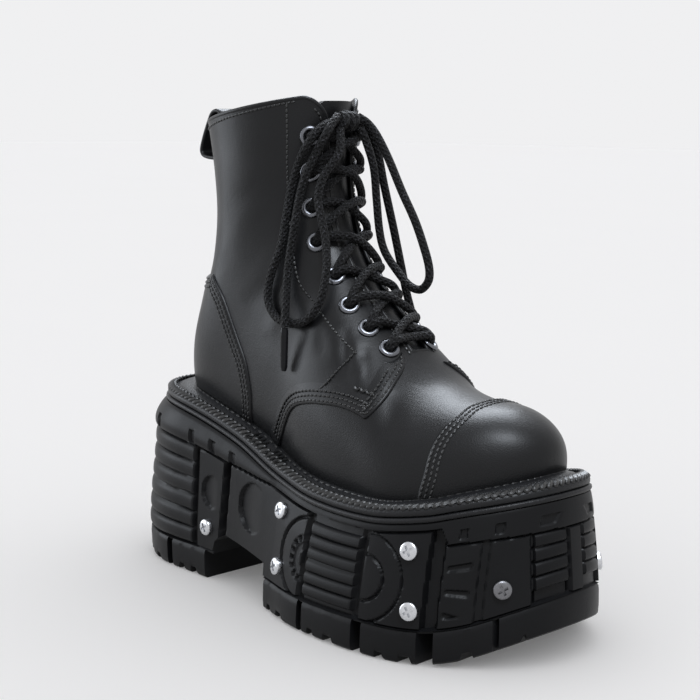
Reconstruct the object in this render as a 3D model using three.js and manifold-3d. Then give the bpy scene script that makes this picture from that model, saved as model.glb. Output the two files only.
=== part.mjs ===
// Platform boot, right foot: a laced ankle boot with a side zip on a thick moulded platform sole.
// Millimetres. X runs from the heel to the toe, Y to the wearer's left (the inner side of the foot), Z up.
// Tables give a "station", the distance from the sole's rearmost edge; the boot's group shifts the
// whole boot so that its origin lies on the ground under the middle of the heel.
import * as THREE from "three";
import Module from "manifold-3d";
import { mergeVertices } from "three/addons/utils/BufferGeometryUtils.js";

const wasm = await Module();
wasm.setup();

// ---- driving dimensions -------------------------------------------------------------------------
const HEEL_REST_STATION = 62; // origin of the part's frame
const GAP = 0.3; // between any two pieces that touch

const LIP_BACK = 15; // midsole edge, rearmost and foremost stations
const LIP_FRONT = 288;
const HEEL_ROUND = 46; // length over which the heel closes
const TOE_ROUND = 80; // length over which the toe closes
const END_POWER = 2.25; // squareness of the outline's ends

const MIDSOLE_THICK = 2.6;
const WELT_THICK = 4.6;
const WELT_INSET = 0.8; // welt edge behind the midsole edge
const INSOLE_THICK = 4;

const WALL = 2; // leather of the upper
const TONGUE_THICK = 3;
const TOE_TIP = 275; // foremost station of the upper
const TOE_TIP_HEIGHT = 91;
const TOE_BOX = 70; // length over which the toe's width closes
const TOE_CROWN = 34; // length over which the toe's top drops to its tip

const EYELET = { outer: 5.2, hole: 2.5, thick: 1.1 };
const LACE_RADIUS = 1.9;
const SCREW = { radius: 4.3, thick: 1.3 };

// ---- tables -------------------------------------------------------------------------------------
// Midsole outline: its centre line and half width, before the ends are rounded.
const OUTLINE = [
  { station: 15, centre: 0, half: 38 },
  { station: 60, centre: -1, half: 40 },
  { station: 108, centre: -4.5, half: 40.5 },
  { station: 150, centre: -6.5, half: 46 },
  { station: 180, centre: -5.5, half: 53 },
  { station: 215, centre: -4, half: 56 },
  { station: 250, centre: -1.5, half: 55.5 },
  { station: 288, centre: 2, half: 51 },
];

// Platform: height of its top face, of its underside, and how far its foot spreads past the midsole.
const PLATFORM = [
  { station: 0, top: 90, bottom: 0, flare: 13 },
  { station: 30, top: 89.5, bottom: 0, flare: 9 },
  { station: 60, top: 87, bottom: 0, flare: 5.5 },
  { station: 105, top: 77.5, bottom: 0, flare: 4.5 },
  { station: 140, top: 67, bottom: 0, flare: 6.5 },
  { station: 170, top: 61.5, bottom: 0, flare: 9.5 },
  { station: 215, top: 60.5, bottom: 0, flare: 9 },
  { station: 245, top: 64.5, bottom: 0, flare: 8 },
  { station: 262, top: 69, bottom: 3.5, flare: 6.5 },
  { station: 278, top: 73, bottom: 11, flare: 5.5 },
  { station: 295, top: 77.5, bottom: 20, flare: 5 },
];

// Side profile of the platform: share of its height, and share of the flare at that height, round
// the heel and round the forefoot.
const SIDE = [
  { height: 0, heel: 0.85, fore: 0.9 },
  { height: 0.04, heel: 0.95, fore: 1 },
  { height: 0.3, heel: 1, fore: 0.9 },
  { height: 0.72, heel: 0.66, fore: 0.4 },
  { height: 0.88, heel: 0.5, fore: 0.12 },
  { height: 1, heel: 0, fore: -0.1 },
];
const HEEL_SIDE_TO = 110; // the heel's side profile turns into the forefoot's between these stations
const FORE_SIDE_FROM = 150;

// Sections of the upper, from the toe round the heel to the collar. Each lies in the plane through
// its lower point (lowX, lowZ) and its upper point (highX, highZ): its centre and half width, where
// it is widest, and the squareness of its upper and lower halves.
const SECTIONS = [
  { lowX: 275, lowZ: 66, highX: 275, highZ: 110, centre: 2.5, half: 39, widest: 0.42, upper: 2.15, lower: 2.7 },
  { lowX: 268, lowZ: 64, highX: 267.5, highZ: 111, centre: 2, half: 40, widest: 0.42, upper: 2.15, lower: 2.7 },
  { lowX: 256, lowZ: 58, highX: 254, highZ: 112.5, centre: 1, half: 42, widest: 0.42, upper: 2.15, lower: 2.7 },
  { lowX: 239, lowZ: 50, highX: 234, highZ: 113.5, centre: -0.5, half: 44.5, widest: 0.42, upper: 2.1, lower: 2.7 },
  { lowX: 218, lowZ: 44, highX: 210, highZ: 120, centre: -2, half: 46, widest: 0.42, upper: 2.05, lower: 2.7 },
  { lowX: 196, lowZ: 42, highX: 188, highZ: 138.5, centre: -3, half: 44.5, widest: 0.42, upper: 2, lower: 2.7 },
  { lowX: 172, lowZ: 43, highX: 171, highZ: 154, centre: -4, half: 42.5, widest: 0.4, upper: 2, lower: 2.7 },
  { lowX: 148, lowZ: 48, highX: 158, highZ: 167, centre: -4, half: 39.5, widest: 0.4, upper: 2, lower: 2.7 },
  { lowX: 120, lowZ: 55, highX: 149, highZ: 179, centre: -2.5, half: 35, widest: 0.42, upper: 2, lower: 2.6 },
  { lowX: 90, lowZ: 62, highX: 142.5, highZ: 191, centre: -1.5, half: 33.5, widest: 0.45, upper: 2, lower: 2.5 },
  { lowX: 62, lowZ: 71, highX: 139, highZ: 203, centre: -0.5, half: 33, widest: 0.46, upper: 2, lower: 2.4 },
  { lowX: 40, lowZ: 85, highX: 137, highZ: 214, centre: 0, half: 33, widest: 0.47, upper: 2, lower: 2.3 },
  { lowX: 34.5, lowZ: 106, highX: 136, highZ: 223, centre: 0.5, half: 33, widest: 0.48, upper: 2, lower: 2.2 },
  { lowX: 41, lowZ: 131, highX: 135.5, highZ: 231, centre: 1, half: 33, widest: 0.48, upper: 2, lower: 2.15 },
  { lowX: 49.5, lowZ: 157, highX: 135.3, highZ: 238.5, centre: 1.5, half: 33.3, widest: 0.48, upper: 2, lower: 2.1 },
  { lowX: 54, lowZ: 185, highX: 135.5, highZ: 245, centre: 1.6, half: 33.8, widest: 0.47, upper: 1.95, lower: 2.1 },
  { lowX: 52.5, lowZ: 213, highX: 136.3, highZ: 251.5, centre: 1.3, half: 34.2, widest: 0.46, upper: 1.9, lower: 2.1 },
  { lowX: 47.5, lowZ: 241, highX: 137.5, highZ: 258, centre: 1, half: 34.6, widest: 0.45, upper: 1.85, lower: 2.1 },
];

// Throat: its rear limit in side view, inside the shaft, and the Y of its two edges on the way up.
const THROAT = [
  { station: 190, height: 127, lateral: -5.5, medial: 7 },
  { station: 168, height: 139, lateral: -6.5, medial: 9 },
  { station: 146, height: 156, lateral: -7, medial: 10.5 },
  { station: 131, height: 178, lateral: -7, medial: 11.5 },
  { station: 124, height: 208, lateral: -7, medial: 12 },
  { station: 122, height: 240, lateral: -7, medial: 12 },
];
// Its mouth, where the two front corners of the collar are rounded off, and the tongue's rounded top.
const THROAT_MOUTH = [
  { station: 121.8, height: 246, lateral: -8, medial: 13 },
  { station: 121.5, height: 250.5, lateral: -10.5, medial: 15.5 },
  { station: 121.3, height: 254, lateral: -14.5, medial: 19.5 },
  { station: 121, height: 257, lateral: -21, medial: 26 },
  { station: 120, height: 275, lateral: -24, medial: 29 },
];
const TONGUE_TOP = [
  { station: 121.7, height: 246, lateral: -6, medial: 11 },
  { station: 121.5, height: 251, lateral: -2, medial: 7 },
  { station: 121.3, height: 254, lateral: 3, medial: 2 },
];
const TONGUE_SPREAD = 11; // tongue edges beyond the throat's edges

// Eyelet pairs from the toe end up: station and height of each hole.
const EYELETS = [
  { station: 189, height: 134.8 },
  { station: 177, height: 143.9 },
  { station: 164.4, height: 154.2 },
  { station: 151.5, height: 167.6 },
  { station: 137.5, height: 183.7 },
  { station: 131.7, height: 200.8 },
  { station: 129.5, height: 218.8 },
  { station: 129.3, height: 236.9 },
];

// Channels between the side panels of the sole: station, width and depth.
const CHANNELS = [
  { station: 74, width: 4, depth: 3 },
  { station: 177.5, width: 4.5, depth: 3.5 },
  { station: 216, width: 4.5, depth: 3.5 },
  { station: 253, width: 6, depth: 5 },
  { station: 270.8, width: 3.6, depth: 2.5 },
];

// Gaps between the tread lugs: station and width, cut up from the ground over LUG_HEIGHT.
const LUG_HEIGHT = 15;
const LUG_GAPS = [
  { station: 20, width: 4 },
  { station: 51, width: 5 },
  { station: 179, width: 5 },
  { station: 218, width: 6 },
  { station: 252, width: 7 },
];

// Arch between heel block and forefoot block, in side view.
const ARCH = [
  { station: 83, height: -5 },
  { station: 84.5, height: 2 },
  { station: 92, height: 23 },
  { station: 99, height: 28.5 },
  { station: 141, height: 24 },
  { station: 141.5, height: -5 },
];

// Screws of each side: station and height.
const SCREWS = [
  { name: "heel", station: 84.8, height: 29 },
  { name: "waist_upper", station: 152.5, height: 53 },
  { name: "waist_lower", station: 155, height: 26 },
  { name: "ball_upper", station: 240.8, height: 51.8 },
  { name: "ball_lower", station: 244.5, height: 25 },
  { name: "toe", station: 277.6, height: 37.4 },
];

// Zip on the inner side: its middle line in side view, its slider, and the slider's pull tab.
const ZIP = { topX: 84, topZ: 243, bottomX: 119, bottomZ: 104, width: 15, thick: 1.2 };
const ZIP_SLIDER = { width: 8.5, length: 11, thick: 2, bridge: 2.6, fromTop: 10 };
const ZIP_PULL = { width: 5, length: 27, thick: 1.4, pin: 1.4, pinDown: 1, pinOut: 6.2, eye: 5 };

// Pull loop at the back of the collar: the strip's middle line in side view.
const PULL_LOOP = {
  thick: 2.2,
  fromY: -12,
  toY: 14,
  path: [
    { station: 55.8, height: 236.5 },
    { station: 55.8, height: 243.3 },
    { station: 53.5, height: 248.4 },
    { station: 49, height: 249.3 },
    { station: 45.2, height: 246 },
    { station: 37.8, height: 229.5 },
    { station: 39.5, height: 225 },
    { station: 49.6, height: 223.6 },
  ],
};

// The bow: each piece's route from the knot, as points chosen along its hang.
const KNOT_RADIUS = 4.6;
const KNOT = [
  { x: 141, y: -6.5, z: 244.6 },
  { x: 141, y: 4.5, z: 244.6 },
];
const BOW = {
  lace_loop_lateral: [
    { x: 138, y: -8.2, z: 243 },
    { x: 139.2, y: -13.5, z: 242.6 },
    { x: 138.4, y: -19.5, z: 239 },
    { x: 134.6, y: -23.6, z: 231 },
    { x: 128.2, y: -23.2, z: 221.1 },
    { x: 124.6, y: -24.1, z: 209.3 },
    { x: 123, y: -25.9, z: 195.5 },
    { x: 122.4, y: -28.8, z: 181.2 },
    { x: 119.2, y: -31.8, z: 168.4 },
    { x: 117.6, y: -33.1, z: 159.2 },
    { x: 119.5, y: -34.5, z: 152.3 },
    { x: 126.1, y: -35.3, z: 145.6 },
    { x: 134.8, y: -35.7, z: 143.6 },
    { x: 142.3, y: -35.3, z: 144.0 },
    { x: 150.1, y: -34.9, z: 147.6 },
    { x: 154.4, y: -31.6, z: 156.2 },
    { x: 154.8, y: -28.6, z: 166.2 },
    { x: 153.2, y: -25.8, z: 176 },
    { x: 149, y: -23, z: 186.9 },
    { x: 144.9, y: -22.1, z: 196.9 },
    { x: 141.8, y: -21.4, z: 206.8 },
    { x: 143.6, y: -18.8, z: 217.8 },
    { x: 148, y: -13, z: 228.9 },
    { x: 144.2, y: -8.4, z: 241 },
  ],
  lace_end_lateral: [
    { x: 141.6, y: -8, z: 247.2 },
    { x: 143.6, y: -12.5, z: 244.6 },
    { x: 144, y: -18, z: 238.4 },
    { x: 138.4, y: -20.1, z: 228.1 },
    { x: 134.2, y: -22.7, z: 217.5 },
    { x: 131.4, y: -24.2, z: 206.8 },
    { x: 130.6, y: -26.4, z: 194.7 },
    { x: 129.4, y: -28.0, z: 182.0 },
    { x: 129.5, y: -30.2, z: 171.0 },
    { x: 131.3, y: -33.0, z: 160.7 },
    { x: 135.0, y: -36.9, z: 152.2 },
    { x: 137.2, y: -39.3, z: 144.7 },
    { x: 137.5, y: -39.7, z: 142.1 },
  ],
  lace_loop_medial: [
    { x: 142.2, y: 6, z: 247 },
    { x: 145, y: 10.5, z: 243.6 },
    { x: 149.6, y: 12.5, z: 237.6 },
    { x: 156.7, y: 14.0, z: 225.8 },
    { x: 165.2, y: 15.0, z: 210.0 },
    { x: 173.7, y: 16.0, z: 195.5 },
    { x: 179.9, y: 16.0, z: 183.2 },
    { x: 183.8, y: 16.0, z: 172.0 },
    { x: 185.4, y: 15.5, z: 165.3 },
    { x: 179.4, y: 15.0, z: 160.3 },
    { x: 171.6, y: 15.0, z: 162.5 },
    { x: 163.7, y: 15.0, z: 168.3 },
    { x: 154.1, y: 15.0, z: 178.2 },
    { x: 150.1, y: 15.0, z: 188.5 },
    { x: 148.6, y: 14.0, z: 204.8 },
    { x: 148.2, y: 12.0, z: 221.0 },
    { x: 146, y: 8.8, z: 233.7 },
    { x: 144, y: 6.2, z: 241.2 },
  ],
  lace_end_medial: [
    { x: 138.6, y: 6.2, z: 242.6 },
    { x: 139.8, y: 13, z: 242.2 },
    { x: 142, y: 19.5, z: 233 },
    { x: 144.9, y: 23.5, z: 211.4 },
    { x: 148.2, y: 27.5, z: 189.4 },
    { x: 151, y: 30.5, z: 170.7 },
    { x: 153, y: 32.5, z: 157.6 },
    { x: 154.8, y: 34.5, z: 147.5 },
    { x: 157.5, y: 36, z: 137.5 },
    { x: 160, y: 39, z: 130 },
  ],
};
const AGLETS = {
  aglet_lateral: [
    { x: 137.6, y: -39.9, z: 141.7 },
    { x: 137.8, y: -40.4, z: 119.8 },
  ],
  aglet_medial: [
    { x: 160.2, y: 39.3, z: 129.4 },
    { x: 163.5, y: 42.8, z: 108 },
  ],
};
const AGLET_RADIUS = 1.6;

// ---- small tools ----------------------------------------------------------------------------------
const vec = (x, y, z) => new THREE.Vector3(x, y, z);
const clamp = (value, low, high) => Math.min(high, Math.max(low, value));

// Smooth value of a column at a place along a table, by cubic Hermite pieces.
function smooth(rows, key, column, place) {
  const at = clamp(place, rows[0][key], rows[rows.length - 1][key]);
  let i = 0;
  while (i < rows.length - 2 && rows[i + 1][key] <= at) i++;
  const slope = (k) => {
    const before = rows[Math.max(k - 1, 0)];
    const after = rows[Math.min(k + 1, rows.length - 1)];
    return (after[column] - before[column]) / (after[key] - before[key]);
  };
  const from = rows[i];
  const to = rows[i + 1];
  const span = to[key] - from[key];
  const t = (at - from[key]) / span;
  const t2 = t * t;
  const t3 = t2 * t;
  return (
    (2 * t3 - 3 * t2 + 1) * from[column] +
    (t3 - 2 * t2 + t) * span * slope(i) +
    (3 * t2 - 2 * t3) * to[column] +
    (t3 - t2) * span * slope(i + 1)
  );
}

// Rounding of an end: 1 away from the end, falling to 0 at it.
function closing(distance, length, power) {
  if (distance >= length) return 1;
  const t = 1 - Math.max(distance, 0) / length;
  return Math.pow(Math.max(1 - Math.pow(t, power), 0), 1 / power);
}

function toSolid(geometry) {
  const bare = geometry.index ? geometry.toNonIndexed() : geometry.clone();
  bare.deleteAttribute("normal");
  bare.deleteAttribute("uv");
  const merged = mergeVertices(bare, 1e-4);
  return new wasm.Manifold(
    new wasm.Mesh({
      numProp: 3,
      vertProperties: new Float32Array(merged.attributes.position.array),
      triVerts: new Uint32Array(merged.index.array),
    }),
  );
}

function toGeometry(solid) {
  const made = solid.getMesh();
  const positions = new Float32Array(made.numVert * 3);
  for (let i = 0; i < made.numVert; i++) {
    positions.set(made.vertProperties.subarray(i * made.numProp, i * made.numProp + 3), i * 3);
  }
  const geometry = new THREE.BufferGeometry();
  geometry.setAttribute("position", new THREE.BufferAttribute(positions, 3));
  geometry.setIndex(new THREE.BufferAttribute(made.triVerts, 1));
  const faceted = geometry.toNonIndexed();
  faceted.computeVertexNormals();
  return faceted;
}

// Solid from triangles of Vector3 corners, turned to face outwards.
function solidOf(faces) {
  const build = (turn) => {
    const corners = faces.flatMap(([a, b, c]) => (turn ? [a, c, b] : [a, b, c]));
    return toSolid(new THREE.BufferGeometry().setFromPoints(corners));
  };
  const solid = build(false);
  return solid.volume() < 0 ? build(true) : solid;
}

// Closed solid through rings of equal length; capPairs closes flat ends by strips across the ring,
// which keeps a curved underside exact, and otherwise ends close as fans round their middle.
function loft(rings, capPairs = false) {
  const count = rings[0].length;
  const points = rings.flat();
  const faces = [];
  for (let r = 0; r < rings.length - 1; r++) {
    for (let i = 0; i < count; i++) {
      const j = (i + 1) % count;
      const a = r * count + i;
      const b = r * count + j;
      faces.push([a, b, a + count], [b, b + count, a + count]);
    }
  }
  const cap = (start, flip) => {
    const push = (a, b, c) => faces.push(flip ? [a, c, b] : [a, b, c]);
    if (capPairs) {
      const half = count / 2;
      push(start, start + count - 1, start + 1);
      for (let i = 1; i < half - 1; i++) {
        push(start + i, start + count - i, start + i + 1);
        push(start + i + 1, start + count - i, start + count - i - 1);
      }
      push(start + half - 1, start + half + 1, start + half);
    } else {
      const middle = points.length;
      const centre = vec(0, 0, 0);
      for (let i = 0; i < count; i++) centre.addScaledVector(points[start + i], 1 / count);
      points.push(centre);
      for (let i = 0; i < count; i++) push(middle, start + ((i + 1) % count), start + i);
    }
  };
  cap(0, false);
  cap((rings.length - 1) * count, true);
  return solidOf(faces.map((face) => face.map((index) => points[index])));
}

// Prism with the given outline in side view, from one Y to another; each edge may vary by point.
function sidePrism(outline, fromY, toY) {
  const edge = (value, point, k) => (typeof value === "function" ? value(point, k) : value);
  const flat = () => outline.map((p) => new THREE.Vector2(p.x, p.z));
  if (THREE.ShapeUtils.isClockWise(flat())) outline = [...outline].reverse();
  const shape = flat();
  const triangles = THREE.ShapeUtils.triangulateShape(shape, []);
  const near = outline.map((p, k) => vec(p.x, edge(fromY, p, k), p.z));
  const far = outline.map((p, k) => vec(p.x, edge(toY, p, k), p.z));
  const faces = [];
  triangles.forEach(([a, b, c]) => {
    faces.push([near[a], near[b], near[c]], [far[a], far[c], far[b]]);
  });
  outline.forEach((_, i) => {
    const j = (i + 1) % outline.length;
    faces.push([near[i], far[i], near[j]], [near[j], far[i], far[j]]);
  });
  return solidOf(faces);
}

function tube(points, radius, steps, sides = 8) {
  const path = new THREE.CatmullRomCurve3(points, false, "centripetal");
  const section = new THREE.Shape();
  for (let k = 0; k < sides; k++) {
    const angle = (2 * Math.PI * k) / sides;
    const at = [radius * Math.cos(angle), radius * Math.sin(angle)];
    if (k === 0) section.moveTo(...at);
    else section.lineTo(...at);
  }
  section.closePath();
  return new THREE.ExtrudeGeometry(section, { steps, extrudePath: path, bevelEnabled: false });
}

// ---- sole -----------------------------------------------------------------------------------------
const platformTop = (station) => smooth(PLATFORM, "station", "top", station);
const platformBottom = (station) => smooth(PLATFORM, "station", "bottom", station);
const platformFlare = (station) => smooth(PLATFORM, "station", "flare", station);

// How far the platform's side stands outside the midsole's edge at a share of its height.
function platformSpread(station, share) {
  const fore = clamp((station - HEEL_SIDE_TO) / (FORE_SIDE_FROM - HEEL_SIDE_TO), 0, 1);
  const side = (column) => smooth(SIDE, "height", column, share);
  return THREE.MathUtils.lerp(side("heel"), side("fore"), fore) * platformFlare(station);
}

function outlineHalf(station) {
  const heel = closing(station - LIP_BACK, HEEL_ROUND, END_POWER);
  const toe = closing(LIP_FRONT - station, TOE_ROUND, END_POWER);
  return smooth(OUTLINE, "station", "half", station) * heel * toe;
}

// Stations along the outline, close together where the ends turn.
function outlineStations(endSteps = 8, midSteps = 7) {
  const stations = [];
  for (let k = 0; k <= endSteps; k++) {
    stations.push(LIP_BACK + HEEL_ROUND * (1 - Math.cos((k / endSteps) * (Math.PI / 2))));
  }
  const from = LIP_BACK + HEEL_ROUND;
  const to = LIP_FRONT - TOE_ROUND;
  for (let k = 1; k < midSteps; k++) stations.push(from + ((to - from) * k) / midSteps);
  for (let k = endSteps; k >= 0; k--) {
    stations.push(LIP_FRONT - TOE_ROUND * (1 - Math.cos((k / endSteps) * (Math.PI / 2))));
  }
  return stations;
}

// Point and outward direction of the midsole outline; side is -1 on the outer side, 1 on the inner.
function outlinePoint(station, side) {
  const at = (s) => {
    const place = clamp(s, LIP_BACK, LIP_FRONT);
    return vec(place, smooth(OUTLINE, "station", "centre", place) + side * outlineHalf(place), 0);
  };
  const point = at(station);
  if (station <= LIP_BACK) return { point, out: vec(-1, 0, 0) };
  if (station >= LIP_FRONT) return { point, out: vec(1, 0, 0) };
  const step = Math.min(0.5, 0.5 * (station - LIP_BACK), 0.5 * (LIP_FRONT - station));
  const along = at(station + step).sub(at(station - step));
  return { point, out: vec(-along.y, along.x, 0).multiplyScalar(side).normalize() };
}

// Closed outline in plan, grown outwards by a length that may depend on the station.
function outlineRing(grow, height) {
  const stations = outlineStations();
  const last = stations.length - 1;
  const place = (station, side) => {
    const { point, out } = outlinePoint(station, side);
    const moved = point.addScaledVector(out, grow(station));
    return vec(moved.x, moved.y, height(moved.x));
  };
  const ring = stations.map((station) => place(station, -1));
  for (let k = last - 1; k > 0; k--) ring.push(place(stations[k], 1));
  return ring;
}

function platformLoft(grow, extraTop = 0, extraBottom = 0) {
  const rings = SIDE.map(({ height }) =>
    outlineRing(
      (station) => platformSpread(station, height) + grow,
      (x) => {
        const low = platformBottom(x) - extraBottom;
        return low + height * (platformTop(x) + extraTop - low);
      },
    ),
  );
  return loft(rings, true);
}

function box(minX, maxX, minY, maxY, minZ, maxZ) {
  const made = new THREE.BoxGeometry(maxX - minX, maxY - minY, maxZ - minZ);
  made.translate((minX + maxX) / 2, (minY + maxY) / 2, (minZ + maxZ) / 2);
  return toSolid(made);
}

const SIDE_REACH = 120; // past every side of the boot

function platformSole() {
  let sole = platformLoft(0);
  const cores = new Map();
  CHANNELS.forEach(({ station, width, depth }) => {
    if (!cores.has(depth)) cores.set(depth, platformLoft(-depth, 5, 5));
    const slab = box(station - width / 2, station + width / 2, -SIDE_REACH, SIDE_REACH, -10, 120);
    const kept = box(station - width, station + width, -SIDE_REACH, SIDE_REACH, platformTop(station) - 7, 130);
    sole = sole.subtract(slab.subtract(cores.get(depth)).subtract(kept));
  });
  LUG_GAPS.forEach(({ station, width }) => {
    sole = sole.subtract(
      box(station - width / 2, station + width / 2, -SIDE_REACH, SIDE_REACH, -10, LUG_HEIGHT),
    );
  });
  const arch = ARCH.map(({ station, height }) => ({ x: station, z: height }));
  sole = sole.subtract(sidePrism(arch, -SIDE_REACH, SIDE_REACH));
  return sole;
}

// Layer between two heights above the platform's top, as a wide prism in side view.
function layer(from, to) {
  const stations = [];
  for (let s = -20; s <= 320; s += 10) stations.push(s);
  const upper = stations.map((s) => ({ x: s, z: platformTop(s) + to }));
  const lower = stations.map((s) => ({ x: s, z: platformTop(s) + from })).reverse();
  return sidePrism([...upper, ...lower], -SIDE_REACH, SIDE_REACH);
}

function outlinePrism(grow) {
  const low = outlineRing(() => grow, () => 20);
  const high = outlineRing(() => grow, () => 140);
  return loft([low, high], true);
}

// Heights above the platform's top where each layer starts.
const MIDSOLE_FROM = GAP;
const WELT_FROM = MIDSOLE_FROM + MIDSOLE_THICK + GAP;

const midsole = () => outlinePrism(0).intersect(layer(MIDSOLE_FROM, MIDSOLE_FROM + MIDSOLE_THICK));

const welt = () =>
  outlinePrism(-WELT_INSET)
    .intersect(layer(WELT_FROM, WELT_FROM + WELT_THICK))
    .subtract(upperForm(GAP));

const insole = () =>
  upperForm(-WALL - GAP).intersect(layer(WELT_FROM, WELT_FROM + INSOLE_THICK));

// ---- upper ----------------------------------------------------------------------------------------
const INDEXED = SECTIONS.map((row, index) => ({ ...row, index }));
const LAST_SECTION = SECTIONS.length - 1;

function sectionAt(place) {
  const beyond = Math.max(place - LAST_SECTION, 0);
  const row = {};
  Object.keys(SECTIONS[0]).forEach((column) => {
    row[column] = smooth(INDEXED, "index", column, place);
    const last = SECTIONS[LAST_SECTION][column] - SECTIONS[LAST_SECTION - 1][column];
    row[column] += beyond * last;
  });
  const width = closing(TOE_TIP - row.lowX, TOE_BOX, 2.2);
  const height = closing(TOE_TIP - row.lowX, TOE_CROWN, 2.3);
  row.half *= width;
  row.lowZ = TOE_TIP_HEIGHT + (row.lowZ - TOE_TIP_HEIGHT) * height;
  row.highZ = TOE_TIP_HEIGHT + (row.highZ - TOE_TIP_HEIGHT) * height;
  row.highX = row.lowX + (row.highX - row.lowX) * height;
  return row;
}

// Point of the upper's outer skin: place counts sections from the toe, turn is the angle round the
// section, 0 at its top and rising towards the outer side of the foot.
function skinPoint(place, turn) {
  const row = sectionAt(place);
  const low = vec(row.lowX, 0, row.lowZ);
  const high = vec(row.highX, 0, row.highZ);
  const middle = low.clone().lerp(high, row.widest);
  const c = Math.cos(turn);
  const s = Math.sin(turn);
  const power = 2 / (c >= 0 ? row.upper : row.lower);
  const along = Math.pow(Math.abs(c), power);
  const across = Math.pow(Math.abs(s), power);
  const point = middle.clone().lerp(c >= 0 ? high : low, along);
  point.y = row.centre - Math.sign(s) * row.half * across;
  return point;
}

function skinNormal(place, turn) {
  if (place <= 0) return vec(1, 0, 0);
  const d = 0.02;
  const alongFoot = skinPoint(place + d, turn).sub(skinPoint(Math.max(place - d, 0), turn));
  const round = skinPoint(place, turn + d).sub(skinPoint(place, turn - d));
  return alongFoot.cross(round).normalize();
}

const skinOffset = (place, turn, grow) =>
  skinPoint(place, turn).addScaledVector(skinNormal(place, turn), grow);

const RING_SIDES = 28;
const TOE_PLACES = [0.03, 0.16, 0.45, 0.9, 1.4];

// Closed form of the whole upper, grown by a length; it runs past the collar by extra sections.
function upperForm(grow, extra = 0) {
  const places = [...TOE_PLACES];
  for (let p = 2; p <= LAST_SECTION; p += p < 4 ? 0.5 : 1) places.push(p);
  if (extra > 0) places.push(LAST_SECTION + extra);
  const rings = places.map((place) => {
    const ring = [];
    for (let k = 0; k < RING_SIDES; k++) {
      ring.push(skinOffset(place, (2 * Math.PI * (k + 0.5)) / RING_SIDES, grow));
    }
    return ring;
  });
  return loft(rings);
}

const THROAT_REACH = 34;

// Throat cutter: from inside the shaft out past its front, between the two edges.
function throatPrism(rows, spread, endMargin) {
  const rear = rows.map((row) => ({ x: row.station, z: row.height, ...row }));
  const front = rows.map((row, k) => {
    const before = rows[Math.max(k - 1, 0)];
    const after = rows[Math.min(k + 1, rows.length - 1)];
    const along = new THREE.Vector2(after.station - before.station, after.height - before.height).normalize();
    return { ...row, x: row.station + along.y * THROAT_REACH, z: row.height - along.x * THROAT_REACH };
  }).reverse();
  rear[0].x += endMargin;
  front[front.length - 1].x += endMargin;
  return sidePrism(
    [...rear, ...front],
    (p) => p.lateral - spread,
    (p) => p.medial + spread,
  );
}

function upper() {
  const under = sidePrism(
    [
      ...Array.from({ length: 35 }, (_, k) => ({ x: -20 + 10 * k, z: platformTop(-20 + 10 * k) + WELT_FROM })),
      { x: 320, z: -10 },
      { x: -20, z: -10 },
    ],
    -SIDE_REACH,
    SIDE_REACH,
  );
  return upperForm(0)
    .subtract(upperForm(-WALL, 0.4))
    .subtract(under)
    .subtract(throatPrism([...THROAT, ...THROAT_MOUTH], 0, 0));
}

function tongue() {
  const outer = upperForm(-WALL - GAP, 0.14);
  const inner = upperForm(-WALL - GAP - TONGUE_THICK, 0.4);
  const width = throatPrism([...THROAT, ...TONGUE_TOP], TONGUE_SPREAD, 14);
  return outer.subtract(inner).intersect(width);
}

// Place and turn on the skin whose side view is the given station and height.
function findOnSkin(station, height, side) {
  let best = { error: Infinity, place: 8, turn: side * -1 };
  const test = (place, turn) => {
    const p = skinPoint(place, turn);
    const error = Math.hypot(p.x - station, p.z - height);
    if (error < best.error) best = { error, place, turn };
  };
  for (let place = 1; place <= LAST_SECTION; place += 0.5) {
    for (let k = 1; k < 30; k++) test(place, (-side * Math.PI * k) / 30);
  }
  for (let size = 0.3; size > 1e-4; size /= 2) {
    for (const dp of [-1, 0, 1]) {
      for (const dt of [-1, 0, 1]) {
        const place = clamp(best.place + dp * size, 0.2, LAST_SECTION);
        test(place, best.turn + dt * size * 0.3);
      }
    }
  }
  return best;
}

// ---- trim -----------------------------------------------------------------------------------------
// Heights above the skin at which a strip, and an eyelet's flat ring, start.
const ON_SKIN = GAP;
const EYELET_FOOT = GAP + 0.25;
const LACE_LIFT = 2; // spare height of the lace over an eyelet
const CROSSING_SHARES = [0, 0.32, 0.68]; // where a crossing's points lie between its two eyelets

function standOn(geometry, point, normal) {
  geometry.applyQuaternion(new THREE.Quaternion().setFromUnitVectors(vec(0, 1, 0), normal));
  geometry.translate(point.x, point.y, point.z);
  return geometry;
}

function eyeletFrame(pair, side) {
  const { place, turn } = findOnSkin(pair.station, pair.height, side);
  return { place, turn, point: skinPoint(place, turn), normal: skinNormal(place, turn) };
}

function eyeletRing(frame) {
  const { outer, hole, thick } = EYELET;
  const low = EYELET_FOOT;
  const profile = [
    new THREE.Vector2(hole, low),
    new THREE.Vector2(outer, low),
    new THREE.Vector2(outer - 0.7, low + thick),
    new THREE.Vector2(hole + 0.5, low + thick),
    new THREE.Vector2(hole, low),
  ];
  return standOn(new THREE.LatheGeometry(profile, 10), frame.point, frame.normal);
}

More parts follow.
